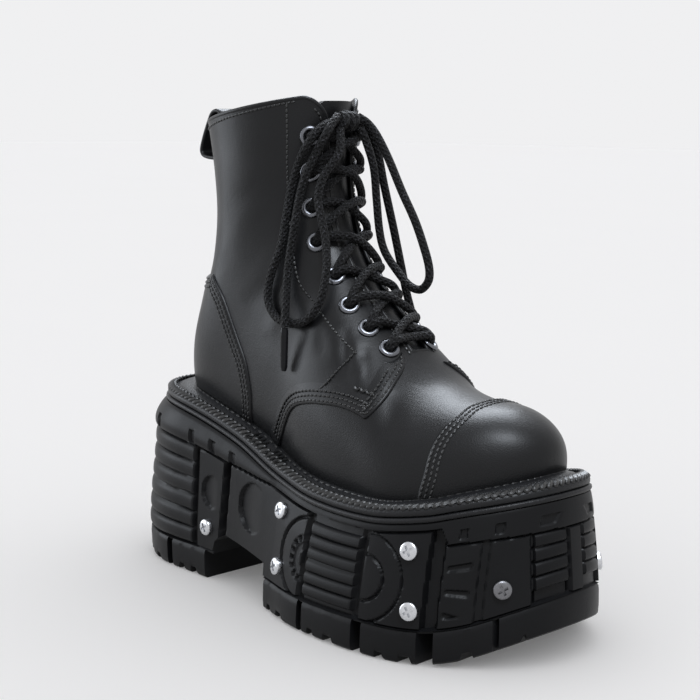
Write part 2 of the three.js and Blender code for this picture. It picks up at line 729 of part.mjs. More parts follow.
// Criss-cross of the lace: over the eyelets it stands clear of their rings, and between them it lies
// low over the tongue. The straight bar joins the lowest pair.
function laceCrossings(frames) {
  const high = EYELET_FOOT + EYELET.thick + GAP + LACE_RADIUS + LACE_LIFT;
  const low = 2 * GAP + LACE_RADIUS + GAP;
  const run = (from, to) =>
    CROSSING_SHARES.map((share) => {
      const place = from.place + (to.place - from.place) * share;
      const turn = from.turn + (to.turn - from.turn) * share;
      return skinOffset(place, turn, share === 0 ? high : low);
    });
  const chain = (start) => {
    const sides = start === "lateral" ? ["lateral", "medial"] : ["medial", "lateral"];
    const points = frames
      .slice(0, -1)
      .flatMap((frame, k) => run(frame[sides[k % 2]], frames[k + 1][sides[(k + 1) % 2]]));
    const end = frames[frames.length - 1][sides[(frames.length - 1) % 2]];
    points.push(skinOffset(end.place, end.turn, high));
    return toSolid(tube(points, LACE_RADIUS, 2 * points.length - 2, 6));
  };
  const { lateral, medial } = frames[0];
  const bar = [...run(lateral, medial), skinOffset(medial.place, medial.turn, high)];
  return chain("lateral").add(chain("medial")).add(toSolid(tube(bar, LACE_RADIUS, 2 * bar.length, 6)));
}

// Screw head on a side panel.
function screwHead({ station, height }, side) {
  const { point, out } = outlinePoint(station, side);
  const low = platformBottom(station);
  const spread = (z) => platformSpread(station, (z - low) / (platformTop(station) - low));
  const lean = (spread(height + 2) - spread(height - 2)) / 4;
  const normal = out.clone().add(vec(0, 0, -lean)).normalize();
  const proud = Math.max(spread(height), (spread(height - SCREW.radius) + spread(height + SCREW.radius)) / 2);
  const base = point.clone().addScaledVector(out, proud).setZ(height);
  base.addScaledVector(normal, 0.8 + SCREW.thick / 2);
  const head = new THREE.CylinderGeometry(SCREW.radius - 0.5, SCREW.radius, SCREW.thick, 14);
  return standOn(head, base, normal);
}

// Pull loop: a strip of leather from inside the collar over its edge, out and down to a fold, and back
// to the shaft.
function pullLoop() {
  const { path, thick, fromY, toY } = PULL_LOOP;
  const middle = path.map(({ station, height }) => new THREE.Vector2(station, height));
  const edge = (sign) =>
    middle.map((point, k) => {
      const before = middle[Math.max(k - 1, 0)];
      const after = middle[Math.min(k + 1, middle.length - 1)];
      const along = after.clone().sub(before).normalize();
      return { x: point.x - sign * along.y * thick * 0.5, z: point.y + sign * along.x * thick * 0.5 };
    });
  return sidePrism([...edge(1), ...edge(-1).reverse()], fromY, toY);
}

// Strip of the zip on the inner side, lying on the leather.
function zip() {
  const along = new THREE.Vector2(ZIP.bottomX - ZIP.topX, ZIP.bottomZ - ZIP.topZ).normalize();
  const half = ZIP.width / 2;
  const corner = (x, z, sign) => ({ x: x + sign * along.y * half, z: z - sign * along.x * half });
  const outline = [
    corner(ZIP.topX, ZIP.topZ, 1),
    corner(ZIP.topX, ZIP.topZ, -1),
    corner(ZIP.bottomX, ZIP.bottomZ, -1),
    corner(ZIP.bottomX, ZIP.bottomZ, 1),
  ];
  return upperForm(ON_SKIN + ZIP.thick)
    .subtract(upperForm(ON_SKIN, 0.4))
    .intersect(sidePrism(outline, 5, SIDE_REACH));
}

// Frame of the slider: its place on the strip, the direction down the zip, and the outward normal.
function sliderFrame() {
  const share = ZIP_SLIDER.fromTop / Math.hypot(ZIP.bottomX - ZIP.topX, ZIP.bottomZ - ZIP.topZ);
  const at = (t) => {
    const x = ZIP.topX + (ZIP.bottomX - ZIP.topX) * t;
    const z = ZIP.topZ + (ZIP.bottomZ - ZIP.topZ) * t;
    const found = findOnSkin(x, z, 1);
    return { point: skinPoint(found.place, found.turn), normal: skinNormal(found.place, found.turn) };
  };
  const { point, normal } = at(share);
  const down = at(share + 0.2).point.sub(point);
  down.addScaledVector(normal, -down.dot(normal)).normalize();
  const across = down.clone().cross(normal).normalize();
  return { point, normal, down, across };
}

// Box in the slider's frame: across the zip, along it downwards, and away from the leather.
function framedBox(frame, across, down, out) {
  const size = (range) => range[1] - range[0];
  const made = new THREE.BoxGeometry(size(across), size(down), size(out));
  made.translate((across[0] + across[1]) / 2, (down[0] + down[1]) / 2, (out[0] + out[1]) / 2);
  const basis = new THREE.Matrix4().makeBasis(frame.across, frame.down, frame.normal);
  made.applyMatrix4(basis.setPosition(frame.point));
  return toSolid(made);
}

const STRIP_TOP = ON_SKIN + ZIP.thick; // outer face of the zip strip above the leather

// Slider body with a bridge over the pull's pin.
function zipSlider(frame) {
  const { width, length, thick, bridge } = ZIP_SLIDER;
  const base = STRIP_TOP + GAP + 0.4;
  const pinAt = ZIP_PULL.pinDown;
  const opening = ZIP_PULL.pin / 2 + GAP;
  const body = framedBox(frame, [-width / 2, width / 2], [-length / 2, length / 2], [base, base + thick]);
  const top = ZIP_PULL.pinOut + opening;
  const block = framedBox(
    frame,
    [-bridge / 2, bridge / 2],
    [pinAt - opening - 1.4, pinAt + opening + 1.4],
    [base + thick - 0.5, top + 1.4],
  );
  const hole = framedBox(
    frame,
    [-bridge, bridge],
    [pinAt - opening, pinAt + opening],
    [ZIP_PULL.pinOut - opening, top],
  );
  return body.add(block).subtract(hole);
}

// Pull tab: a flat tab whose upper end is a window with the pin that runs through the bridge.
function zipPull(frame) {
  const { width, length, thick, pin, pinDown, pinOut } = ZIP_PULL;
  const window = ZIP_SLIDER.bridge / 2 + GAP;
  const outer = window + 1.6;
  const eyeTop = pinDown - pin / 2;
  const eyeEnd = pinDown + ZIP_PULL.eye;
  const layerOf = [pinOut - thick / 2, pinOut + thick / 2];
  const eye = framedBox(frame, [-outer, outer], [eyeTop, eyeEnd + 1.6], layerOf);
  const gap = framedBox(frame, [-window, window], [pinDown + pin / 2, eyeEnd], [0, 50]);
  const tab = framedBox(frame, [-width / 2, width / 2], [eyeEnd, pinDown + length], layerOf);
  return eye.subtract(gap).add(tab);
}

// Knot of the bow: a short fat roll across the throat.
function laceKnot() {
  const path = KNOT.map(({ x, y, z }) => vec(x, y, z));
  return tube(path, KNOT_RADIUS, 1);
}

// ---- assembly -------------------------------------------------------------------------------------
const material = (color, roughness, metalness = 0) =>
  new THREE.MeshStandardMaterial({ color, roughness, metalness });
const LEATHER = () => material(0x17181b, 0.38);
const RUBBER = () => material(0x1a1b1e, 0.6);
const CORD = () => material(0x1c1c20, 0.85);
const NICKEL = () => material(0xe4e6e8, 0.25, 1);
const GUNMETAL = () => material(0x6c6f75, 0.3, 1);
const AGLET = () => material(0x141416, 0.3);

const boot = new THREE.Group();
boot.position.set(-HEEL_REST_STATION, 0, 0);

function place(name, shape, finish) {
  const geometry = shape.isBufferGeometry ? shape : toGeometry(shape);
  const mesh = new THREE.Mesh(geometry, finish);
  mesh.name = name;
  boot.add(mesh);
  return mesh;
}

place("platform_sole", platformSole(), RUBBER());
place("midsole", midsole(), RUBBER());
place("welt", welt(), LEATHER());
place("insole", insole(), LEATHER());
place("upper", upper(), LEATHER());
place("tongue", tongue(), LEATHER());
place("pull_loop", pullLoop(), LEATHER());

const eyeletFrames = EYELETS.map((pair) => ({
  lateral: eyeletFrame(pair, -1),
  medial: eyeletFrame({ station: pair.station, height: pair.height }, 1),
}));
["lateral", "medial"].forEach((side) => {
  eyeletFrames.forEach((frames, k) => {
    place(`eyelet_${side}_${k + 1}`, eyeletRing(frames[side]), GUNMETAL());
  });
});

place("lace_crossings", laceCrossings(eyeletFrames), CORD());
place("lace_knot", laceKnot(), CORD());
Object.entries(BOW).forEach(([name, route]) => {
  const path = route.map(({ x, y, z }) => vec(x, y, z));
  place(name, tube(path, LACE_RADIUS, route.length + 4), CORD());
});
Object.entries(AGLETS).forEach(([name, route]) => {
  const path = route.map(({ x, y, z }) => vec(x, y, z));
  place(name, tube(path, AGLET_RADIUS, 1), AGLET());
});

const slider = sliderFrame();
place("zip", zip(), CORD());
place("zip_slider", zipSlider(slider), GUNMETAL());
place("zip_pull", zipPull(slider), GUNMETAL());

SCREWS.forEach((screw) => {
  place(`screw_lateral_${screw.name}`, screwHead(screw, -1), screw.name === "toe" ? GUNMETAL() : NICKEL());
  place(`screw_medial_${screw.name}`, screwHead(screw, 1), NICKEL());
});

export default boot;
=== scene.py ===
"""Platform boot, right foot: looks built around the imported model.

Lengths in this file are millimetres and places are stations, counted from the sole's rearmost edge,
unless a name says otherwise. to_frame() turns them into the frame's metres.
"""
import logging
import math
from dataclasses import Field, dataclass, field
from enum import Enum
from typing import Sequence

import bmesh
import bpy
import numpy as np
from mathutils import Matrix, Vector


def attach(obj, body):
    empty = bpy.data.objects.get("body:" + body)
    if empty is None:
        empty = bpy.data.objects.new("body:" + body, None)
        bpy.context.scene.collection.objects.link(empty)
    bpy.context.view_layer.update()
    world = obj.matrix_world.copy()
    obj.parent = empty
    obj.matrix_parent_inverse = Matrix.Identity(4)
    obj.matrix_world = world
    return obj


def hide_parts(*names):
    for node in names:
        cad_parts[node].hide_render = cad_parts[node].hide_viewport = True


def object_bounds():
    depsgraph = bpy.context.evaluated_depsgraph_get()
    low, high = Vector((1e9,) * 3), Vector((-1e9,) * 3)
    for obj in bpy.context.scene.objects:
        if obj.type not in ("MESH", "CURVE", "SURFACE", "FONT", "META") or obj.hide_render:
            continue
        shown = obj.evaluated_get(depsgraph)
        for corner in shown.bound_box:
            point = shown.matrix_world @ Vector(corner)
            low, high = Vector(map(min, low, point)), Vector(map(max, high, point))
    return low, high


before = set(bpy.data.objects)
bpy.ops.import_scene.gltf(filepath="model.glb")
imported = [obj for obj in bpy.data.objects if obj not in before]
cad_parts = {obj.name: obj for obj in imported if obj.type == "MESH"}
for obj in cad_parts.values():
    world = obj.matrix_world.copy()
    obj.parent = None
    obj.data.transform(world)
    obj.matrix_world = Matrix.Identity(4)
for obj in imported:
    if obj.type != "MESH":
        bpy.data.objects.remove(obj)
CAD_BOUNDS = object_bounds()
LOG = logging.getLogger("platform_boot")

MM = 0.001
HEEL_REST_STATION = 62.0
BOOT = "boot"
ACROSS = 120.0
DEFAULT_SHARP = 40.0
SEAM_SHARP = 60.0


class Side(Enum):
    """Side of the foot, as the sign of Y."""

    LATERAL = -1
    MEDIAL = 1


class Operation(Enum):
    """Boolean operation between two closed meshes."""

    CUT = "DIFFERENCE"
    KEEP = "INTERSECT"


# ---- numbers and paths ------------------------------------------------------------------------------
def to_frame(points: np.ndarray) -> np.ndarray:
    """Turns station millimetres into the frame's metres.

    Args:
        points: array whose last axis is (station, y, z).

    Returns:
        The same points in metres, from the heel rest.
    """
    return (np.asarray(points, float) - np.array([HEEL_REST_STATION, 0, 0])) * MM


def unit(vectors: np.ndarray) -> np.ndarray:
    """Vectors of length one along the last axis."""
    return vectors / np.maximum(np.linalg.norm(vectors, axis=-1, keepdims=True), 1e-12)


def ease(value: np.ndarray) -> np.ndarray:
    """Smooth step from 0 to 1."""
    t = np.clip(value, 0, 1)
    return t * t * (3 - 2 * t)


def closing(distance: np.ndarray, length: float, power: float) -> np.ndarray:
    """Rounding of an end: 1 away from it, falling to 0 at it.

    Args:
        distance: distance from the end.
        length: length over which the end rounds.
        power: squareness.

    Returns:
        The share of the full size.
    """
    t = 1 - np.clip(distance, 0, length) / length
    return np.power(np.maximum(1 - np.power(t, power), 0), 1 / power)


class Table:
    """Short table whose columns are read as smooth curves of its first column."""

    def __init__(self, names: str, rows: Sequence[Sequence[float]]) -> None:
        """Keeps the columns.

        Args:
            names: column names, the key first.
            rows: one row of numbers for each key.
        """
        self.names = names.split()
        self.rows = np.array(rows, float)

    def at(self, name: str, place: np.ndarray) -> np.ndarray:
        """Value of a column at a place, held at the table's ends.

        Args:
            name: column to read.
            place: keys to read it at.

        Returns:
            The values.
        """
        key = self.rows[:, 0]
        col = self.rows[:, self.names.index(name)]
        slope = np.empty_like(col)
        slope[1:-1] = (col[2:] - col[:-2]) / (key[2:] - key[:-2])
        slope[0] = (col[1] - col[0]) / (key[1] - key[0])
        slope[-1] = (col[-1] - col[-2]) / (key[-1] - key[-2])
        at = np.clip(place, key[0], key[-1])
        i = np.clip(np.searchsorted(key, at, side="right") - 1, 0, len(key) - 2)
        span = key[i + 1] - key[i]
        t = (at - key[i]) / span
        t2, t3 = t * t, t * t * t
        return (
            (2 * t3 - 3 * t2 + 1) * col[i]
            + (t3 - 2 * t2 + t) * span * slope[i]
            + (3 * t2 - 2 * t3) * col[i + 1]
            + (t3 - t2) * span * slope[i + 1]
        )


def run_lengths(points: np.ndarray) -> np.ndarray:
    """Length along a line up to each of its points."""
    return np.concatenate([[0], np.cumsum(np.linalg.norm(np.diff(points, axis=0), axis=1))])


def resample(points: np.ndarray, step: float) -> np.ndarray:
    """Points at even spacing along a polyline.

    Args:
        points: the polyline.
        step: spacing aimed at.

    Returns:
        The new points, ends kept.
    """
    points = np.asarray(points, float)
    lengths = run_lengths(points)
    count = max(int(round(lengths[-1] / step)) + 1, 2)
    at = np.linspace(0, lengths[-1], count)
    return np.stack([np.interp(at, lengths, points[:, k]) for k in range(points.shape[1])], 1)


def smooth_path(points: Sequence[Sequence[float]], step: float) -> np.ndarray:
    """Even points on one smooth curve through given points.

    Args:
        points: the points to pass through.
        step: spacing of the result.

    Returns:
        Points along the curve.
    """
    rows = np.asarray(points, float)
    chord = np.concatenate([[0], np.cumsum(np.sqrt(np.linalg.norm(np.diff(rows, axis=0), axis=1)))])
    axes = [f"c{k}" for k in range(rows.shape[1])]
    table = Table(" ".join(["t", *axes]), np.column_stack([chord, rows]))
    fine = np.linspace(0, chord[-1], 40 * len(rows))
    return resample(np.stack([table.at(name, fine) for name in axes], 1), step)


# ---- mesh making --------------------------------------------------------------------------------------
def strips(total: int, size: int, closed: bool) -> list[list[int]]:
    """Quads between rings of points.

    Args:
        total: number of rings.
        size: points in each ring.
        closed: True where the last ring joins the first.

    Returns:
        The faces.
    """
    faces = []
    for r in range(total if closed else total - 1):
        n = (r + 1) % total
        for k in range(size):
            j = (k + 1) % size
            faces.append([r * size + k, r * size + j, n * size + j, n * size + k])
    return faces


def fans(total: int, size: int) -> list[list[int]]:
    """Triangles that cap the first and last ring, round two middle points that follow the rings'."""
    faces = []
    for r, middle, flip in ((0, total * size, True), (total - 1, total * size + 1, False)):
        for k in range(size):
            a, b = r * size + k, r * size + (k + 1) % size
            faces.append([middle, b, a] if flip else [middle, a, b])
    return faces


def turn_outwards(mesh: bpy.types.Mesh, triangulate: bool = False) -> None:
    """Points a closed mesh's faces outwards, after cutting them to triangles where asked."""
    fix = bmesh.new()
    fix.from_mesh(mesh)
    if triangulate:
        bmesh.ops.triangulate(fix, faces=fix.faces)
    bmesh.ops.recalc_face_normals(fix, faces=fix.faces)
    fix.to_mesh(mesh)
    fix.free()


def show(name: str, data: bpy.types.ID) -> bpy.types.Object:
    """New object with some data, linked to the scene."""
    obj = bpy.data.objects.new(name, data)
    bpy.context.scene.collection.objects.link(obj)
    return obj


class Maker:
    """Collects closed shells and makes one object of them."""

    def __init__(self, name: str) -> None:
        """Starts an empty piece called name."""
        self.name = name
        self.points: list[np.ndarray] = []
        self.faces: list[Sequence[int]] = []
        self.uvs: list[Sequence[tuple[float, float]]] = []
        self.count = 0

    def add(self, points: np.ndarray, faces: Sequence[Sequence[int]], uvs: Sequence = ()) -> None:
        """Adds a shell.

        Args:
            points: its points, in station millimetres.
            faces: its faces, as indices into points.
            uvs: one (u, v) for each corner of each face, or nothing.
        """
        points = np.asarray(points, float).reshape(-1, 3)
        self.points.append(points)
        self.faces.extend([[int(i) + self.count for i in face] for face in faces])
        self.uvs.extend(uvs if len(uvs) else [[(0.0, 0.0)] * len(face) for face in faces])
        self.count += len(points)

    def rings(self, rings: np.ndarray, closed: bool = False) -> None:
        """Adds a loft through rings of equal length.

        Args:
            rings: array (ring, point, 3).
            closed: True where the last ring joins the first; otherwise both ends are capped.
        """
        rings = np.asarray(rings, float)
        total, size = rings.shape[:2]
        faces, points = strips(total, size, closed), rings.reshape(-1, 3)
        if not closed:
            faces += fans(total, size)
            points = np.vstack([points, rings[0].mean(0), rings[-1].mean(0)])
        self.add(points, faces)

    def slab(self, top: np.ndarray, under: np.ndarray) -> None:
        """Adds a closed sheet between two grids of points.

        Args:
            top: outer grid (row, column, 3).
            under: inner grid of the same size.
        """
        rows, cols = top.shape[:2]
        size = rows * cols
        index = np.arange(size).reshape(rows, cols)
        quads = np.stack([index[:-1, :-1], index[:-1, 1:], index[1:, 1:], index[1:, :-1]], -1)
        outer = quads.reshape(-1, 4)
        inner = outer[:, ::-1] + size
        rim = np.concatenate([index[0], index[1:, -1], index[-1, -2::-1], index[-2:0:-1, 0]])
        after = np.roll(rim, -1)
        sides = np.stack([after, rim, rim + size, after + size], -1)
        faces = np.vstack([outer, inner, sides])
        self.add(np.vstack([top.reshape(-1, 3), under.reshape(-1, 3)]), faces.tolist())

    def tube(self, path: np.ndarray, radius: np.ndarray, sides: int = 12, closed: bool = False) -> None:
        """Adds a round tube along a path, with its length and turn as UV.

        Args:
            path: points of its middle line.
            radius: its radius, one number or one for each point.
            sides: number of sides.
            closed: True for a ring.
        """
        path = np.asarray(path, float)
        total = len(path)
        radius = np.broadcast_to(np.asarray(radius, float), (total,))
        if closed:
            tangent = unit(np.roll(path, -1, 0) - np.roll(path, 1, 0))
        else:
            tangent = unit(np.gradient(path, axis=0))
        across = np.cross(tangent[0], [0.0, 0.0, 1.0])
        if np.linalg.norm(across) < 0.1:
            across = np.cross(tangent[0], [0.0, 1.0, 0.0])
        angles = np.arange(sides) * 2 * math.pi / sides
        rings = []
        for k in range(total):
            across = unit(across - tangent[k] * (across @ tangent[k]))
            other = np.cross(tangent[k], across)
            ring = np.outer(np.cos(angles), across) + np.outer(np.sin(angles), other)
            rings.append(path[k] + radius[k] * ring)
        lengths = run_lengths(path)
        points, faces, uvs = np.array(rings).reshape(-1, 3), strips(total, sides, closed), []
        for r in range(total if closed else total - 1):
            u0 = lengths[r]
            u1 = lengths[r + 1] if r + 1 < total else lengths[r] + np.linalg.norm(path[0] - path[-1])
            for k in range(sides):
                v0, v1 = k / sides, (k + 1) / sides
                uvs.append([(u0, v0), (u0, v1), (u1, v1), (u1, v0)])
        if not closed:
            faces += fans(total, sides)
            points = np.vstack([points, path[0], path[-1]])
            uvs += [[(end, 0.5)] * 3 for end in (lengths[0], lengths[-1]) for _ in range(sides)]
        self.add(points, faces, uvs)

    def build(self, material: bpy.types.Material, sharp: float = DEFAULT_SHARP) -> bpy.types.Object:
        """Makes the object, with outward normals and smooth shading.

        Args:
            material: its finish.
            sharp: edges that turn by more degrees than this stay sharp.

        Returns:
            The new object, in the frame's metres.
        """
        mesh = bpy.data.meshes.new(self.name)
        mesh.from_pydata(to_frame(np.vstack(self.points)).tolist(), [], self.faces)
        layer = mesh.uv_layers.new(name="length_turn")
        layer.data.foreach_set("uv", np.array([c for f in self.uvs for uv in f for c in uv], np.float32))
        turn_outwards(mesh)
        mesh.materials.append(material)
        finish_mesh(mesh, sharp)
        return show(self.name, mesh)


def finish_mesh(mesh: bpy.types.Mesh, sharp: float) -> None:
    """Shades a mesh smooth, with edges sharper than an angle in degrees kept sharp."""
    mesh.polygons.foreach_set("use_smooth", [True] * len(mesh.polygons))
    mesh.set_sharp_from_angle(angle=math.radians(sharp))
    mesh.update()


def plain_mesh(obj: bpy.types.Object) -> bpy.types.Mesh:
    """The evaluated object as a mesh of its own."""
    bpy.context.view_layer.update()
    graph = bpy.context.evaluated_depsgraph_get()
    return bpy.data.meshes.new_from_object(obj.evaluated_get(graph), depsgraph=graph)


def combine(
    target: bpy.types.Object, tools: Sequence[bpy.types.Object], operation: Operation,
    sharp: float = DEFAULT_SHARP,
) -> bpy.types.Object:
    """Cuts or joins closed meshes, and removes the tools.

    Args:
        target: the piece that is changed.
        tools: the other meshes.
        operation: what to do with each of them.
        sharp: edges that turn by more degrees than this stay sharp.

    Returns:
        The target, with its new mesh.
    """
    for tool in tools:
        modifier = target.modifiers.new("boolean", "BOOLEAN")
        modifier.operation = operation.value
        modifier.solver = "MANIFOLD"
        modifier.object = tool
        made = plain_mesh(target)
        target.modifiers.remove(modifier)
        old = target.data
        made.name = old.name
        target.data = made
        bpy.data.meshes.remove(old)
        bpy.data.objects.remove(tool)
    finish_mesh(target.data, sharp)
    return target


def prism(
    outline: np.ndarray, from_y: np.ndarray, to_y: np.ndarray, material: bpy.types.Material
) -> bpy.types.Object:
    """Closed prism with an outline in side view.

    Args:
        outline: (station, z) corners in order.
        from_y: Y of its near end, one number or one for each corner.
        to_y: Y of its far end.
        material: finish of its faces.

    Returns:
        The prism as an object.
    """
    outline = np.asarray(outline, float)
    size = len(outline)
    ends = []
    for value in (from_y, to_y):
        y = np.broadcast_to(np.asarray(value, float), (size,))
        ends.append(np.column_stack([outline[:, 0], y, outline[:, 1]]))
    faces = [list(range(size)), [size + k for k in range(size)][::-1]]
    faces += [[k, (k + 1) % size, size + (k + 1) % size, size + k] for k in range(size)]
    mesh = bpy.data.meshes.new("prism")
    mesh.from_pydata(to_frame(np.vstack(ends)).tolist(), [], faces)
    turn_outwards(mesh, triangulate=True)
    mesh.materials.append(material)
    return show("prism", mesh)


def settle(obj: bpy.types.Object, slot: str, *nodes: str, body: str = BOOT) -> bpy.types.Object:
    """Attaches a piece to its body and hides the CAD nodes that it stands for.

    Args:
        obj: the finished piece.
        slot: not used.
        nodes: CAD nodes it replaces.
        body: the body it rides on.

    Returns:
        The piece.
    """
    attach(obj, body)
    if nodes:
        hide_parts(*nodes)
    LOG.info("%s: %d faces", obj.name, len(obj.data.polygons) if obj.type == "MESH" else 0)
    return obj


# ---- the last, on which the upper is made -------------------------------------------------------------
@dataclass(frozen=True)
class Crease:
    """Soft trough in the leather along a stroke, or a ridge where depth is negative."""

    path: Sequence[tuple[float, float, float]]
    depth: float
    width: float


def section_table() -> Table:
    """Sections of the last from the toe to the collar."""
    rows = [
        (275, 66, 275, 110, 2.5, 39, 0.42, 2.15, 2.7),
        (268, 64, 267.5, 111, 2, 40, 0.42, 2.15, 2.7),
        (256, 58, 254, 112.5, 1, 42, 0.42, 2.15, 2.7),
        (239, 50, 234, 113.5, -0.5, 44.5, 0.42, 2.1, 2.7),
        (218, 44, 210, 120, -2, 46, 0.42, 2.05, 2.7),
        (196, 42, 188, 138.5, -3, 44.5, 0.42, 2, 2.7),
        (172, 43, 171, 154, -4, 42.5, 0.4, 2, 2.7),
        (148, 48, 158, 167, -4, 39.5, 0.4, 2, 2.7),
        (120, 55, 149, 179, -2.5, 35, 0.42, 2, 2.6),
        (90, 62, 142.5, 191, -1.5, 33.5, 0.45, 2, 2.5),
        (62, 71, 139, 203, -0.5, 33, 0.46, 2, 2.4),
        (40, 85, 137, 214, 0, 33, 0.47, 2, 2.3),
        (34.5, 106, 136, 223, 0.5, 33, 0.48, 2, 2.2),
        (41, 131, 135.5, 231, 1, 33, 0.48, 2, 2.15),
        (49.5, 157, 135.3, 238.5, 1.5, 33.3, 0.48, 2, 2.1),
        (54, 185, 135.5, 245, 1.6, 33.8, 0.47, 1.95, 2.1),
        (52.5, 213, 136.3, 251.5, 1.3, 34.2, 0.46, 1.9, 2.1),
        (47.5, 241, 137.5, 258, 1, 34.6, 0.45, 1.85, 2.1),
    ]
    names = "index low_x low_z high_x high_z centre half widest upper lower"
    return Table(names, [(k, *row) for k, row in enumerate(rows)])


@dataclass
class Last:
    """Outer skin of the upper: place 0 at the toe tip to 17 at the collar, turn 0 on top, + lateral."""

    sections: Table = field(default_factory=section_table)
    collar: float = 17.0
    toe_tip: float = 275.0
    tip_height: float = 91.0
    toe_box: float = 70.0
    toe_crown: float = 34.0
    creases: Sequence[Crease] = ()

    def skin(self, place: np.ndarray, turn: np.ndarray) -> np.ndarray:
        """Points of the skin.

        Args:
            place: section numbers.
            turn: angles round the section, in radians.

        Returns:
            Array (..., 3) of station, y and z.
        """
        place, turn = np.broadcast_arrays(np.asarray(place, float), np.asarray(turn, float))
        beyond = np.maximum(place - self.collar, 0)
        col = {}
        for name in self.sections.names[1:]:
            column = self.sections.rows[:, self.sections.names.index(name)]
            col[name] = self.sections.at(name, place) + beyond * (column[-1] - column[-2])
        ahead = self.toe_tip - col["low_x"]
        width = closing(ahead, self.toe_box, 2.2)
        height = closing(ahead, self.toe_crown, 2.3)
        low_z = self.tip_height + (col["low_z"] - self.tip_height) * height
        high_z = self.tip_height + (col["high_z"] - self.tip_height) * height
        low_x = col["low_x"]
        high_x = low_x + (col["high_x"] - low_x) * height
        c, s = np.cos(turn), np.sin(turn)
        power = 2 / np.where(c >= 0, col["upper"], col["lower"])
        along, across = np.abs(c) ** power, np.abs(s) ** power
        mid_x = low_x + (high_x - low_x) * col["widest"]
        mid_z = low_z + (high_z - low_z) * col["widest"]
        x = mid_x + (np.where(c >= 0, high_x, low_x) - mid_x) * along
        z = mid_z + (np.where(c >= 0, high_z, low_z) - mid_z) * along
        return np.stack([x, col["centre"] - np.sign(s) * col["half"] * width * across, z], -1)

    def normal(self, place: np.ndarray, turn: np.ndarray) -> np.ndarray:
        """Outward normals of the skin at places and turns."""
        d = 0.02
        place, turn = np.broadcast_arrays(np.asarray(place, float), np.asarray(turn, float))
        along = self.skin(place + d, turn) - self.skin(np.maximum(place - d, 0), turn)
        around = self.skin(place, turn + d) - self.skin(place, turn - d)
        return unit(np.cross(along, around))

    def out(self, place: np.ndarray, turn: np.ndarray, grow: np.ndarray = 0.0) -> np.ndarray:
        """Points at a height above the skin."""
        grow = np.asarray(grow, float)[..., None]
        return self.skin(place, turn) + self.normal(place, turn) * grow

    def locate(self, targets: Sequence[Sequence[float]], side: Side | None = None) -> np.ndarray:
        """Places and turns of the skin nearest to points.

        Args:
            targets: (station, y, z) points, or (station, z) ones with a side given.
            side: side of the foot that the points are on.

        Returns:
            Array (point, 2) of place and turn.
        """
        targets = np.asarray(targets, float)
        axes = [0, 2] if targets.shape[1] == 2 else [0, 1, 2]
        places = np.linspace(0.05, self.collar + 0.3, 260)
        low, high = (0.03, math.pi - 0.03) if side else (-math.pi, math.pi)
        turns = np.linspace(low, high, 181) * (-side.value if side else 1)
        grid_p, grid_t = np.meshgrid(places, turns, indexing="ij")
        cloud = self.skin(grid_p, grid_t)[..., axes].reshape(-1, len(axes))
        found = np.empty((len(targets), 2))
        for k, target in enumerate(targets):
            best = np.argmin(((cloud - target) ** 2).sum(1))
            found[k] = grid_p.flat[best], grid_t.flat[best]
        d = 0.01
        for _ in range(4):
            here = self.skin(found[:, 0], found[:, 1])[:, axes]
            by_place = (self.skin(found[:, 0] + d, found[:, 1])[:, axes] - here) / d
            by_turn = (self.skin(found[:, 0], found[:, 1] + d)[:, axes] - here) / d
            for k in range(len(targets)):
                slopes = np.stack([by_place[k], by_turn[k]], 1)
                move = np.linalg.lstsq(slopes, targets[k] - here[k], rcond=None)[0]
                found[k] += np.clip(move, [-0.3, -0.15], [0.3, 0.15])
        found[:, 0] = np.clip(found[:, 0], 0.03, self.collar + 0.3)
        return found

    def dip(self, points: np.ndarray) -> np.ndarray:
        """Depth of the creases at points.

        Args:
            points: array (..., 3) on the skin.

        Returns:
            How far the leather lies below the skin there.
        """
        flat = points.reshape(-1, 3)
        total = np.zeros(len(flat))
        for crease in self.creases:
            path = smooth_path(crease.path, 3.0)
            along = np.linspace(0, 1, len(path))
            strength = np.sin(math.pi * np.clip(along, 0, 1)) ** 0.7
            near = np.where(np.linalg.norm(flat - path.mean(0), axis=1) < 90)[0]
            gaps = np.linalg.norm(flat[near, None, :] - path[None], axis=2)
            best = gaps.argmin(1)
            shape = np.exp(-((gaps.min(1) / crease.width) ** 2)) * strength[best]
            total[near] += crease.depth * shape
        return total.reshape(points.shape[:-1])

    def seam(
        self, points: Sequence[Sequence[float]], step: float = 2.0, side: Side = Side.LATERAL
    ) -> np.ndarray:
        """Places and turns along a smooth seam through points given for the lateral side.

        Args:
            points: (station, y, z) points near the skin.
            step: spacing of the result.
            side: side that it is wanted on.

        Returns:
            Array (point, 2) of place and turn, turns unwrapped.
        """
        found = self.locate(smooth_path(points, step))
        found[:, 1] = np.unwrap(found[:, 1])
        if side is Side.MEDIAL:
            found[:, 1] *= -1
        return found

    def form(self, grow: float, material: bpy.types.Material, extra: float = 0.0) -> bpy.types.Object:
        """Closed form of the last, for cutting.

        Args:
            grow: height above the skin.
            material: finish of its faces.
            extra: how far it goes on above the collar, in sections.

        Returns:
            The form as an object.
        """
        places = [0.03, 0.1, 0.2, 0.35, 0.55, 0.8, 1.1, 1.5, *np.arange(2, self.collar + 0.01, 0.25)]
        if extra:
            places.append(self.collar + extra)
        turns = np.arange(96) * 2 * math.pi / 96
        grid_p, grid_t = np.meshgrid(places, turns, indexing="ij")
        maker = Maker("form")
        maker.rings(self.out(grid_p, grid_t, np.full(grid_p.shape, grow)))
        return maker.build(material)


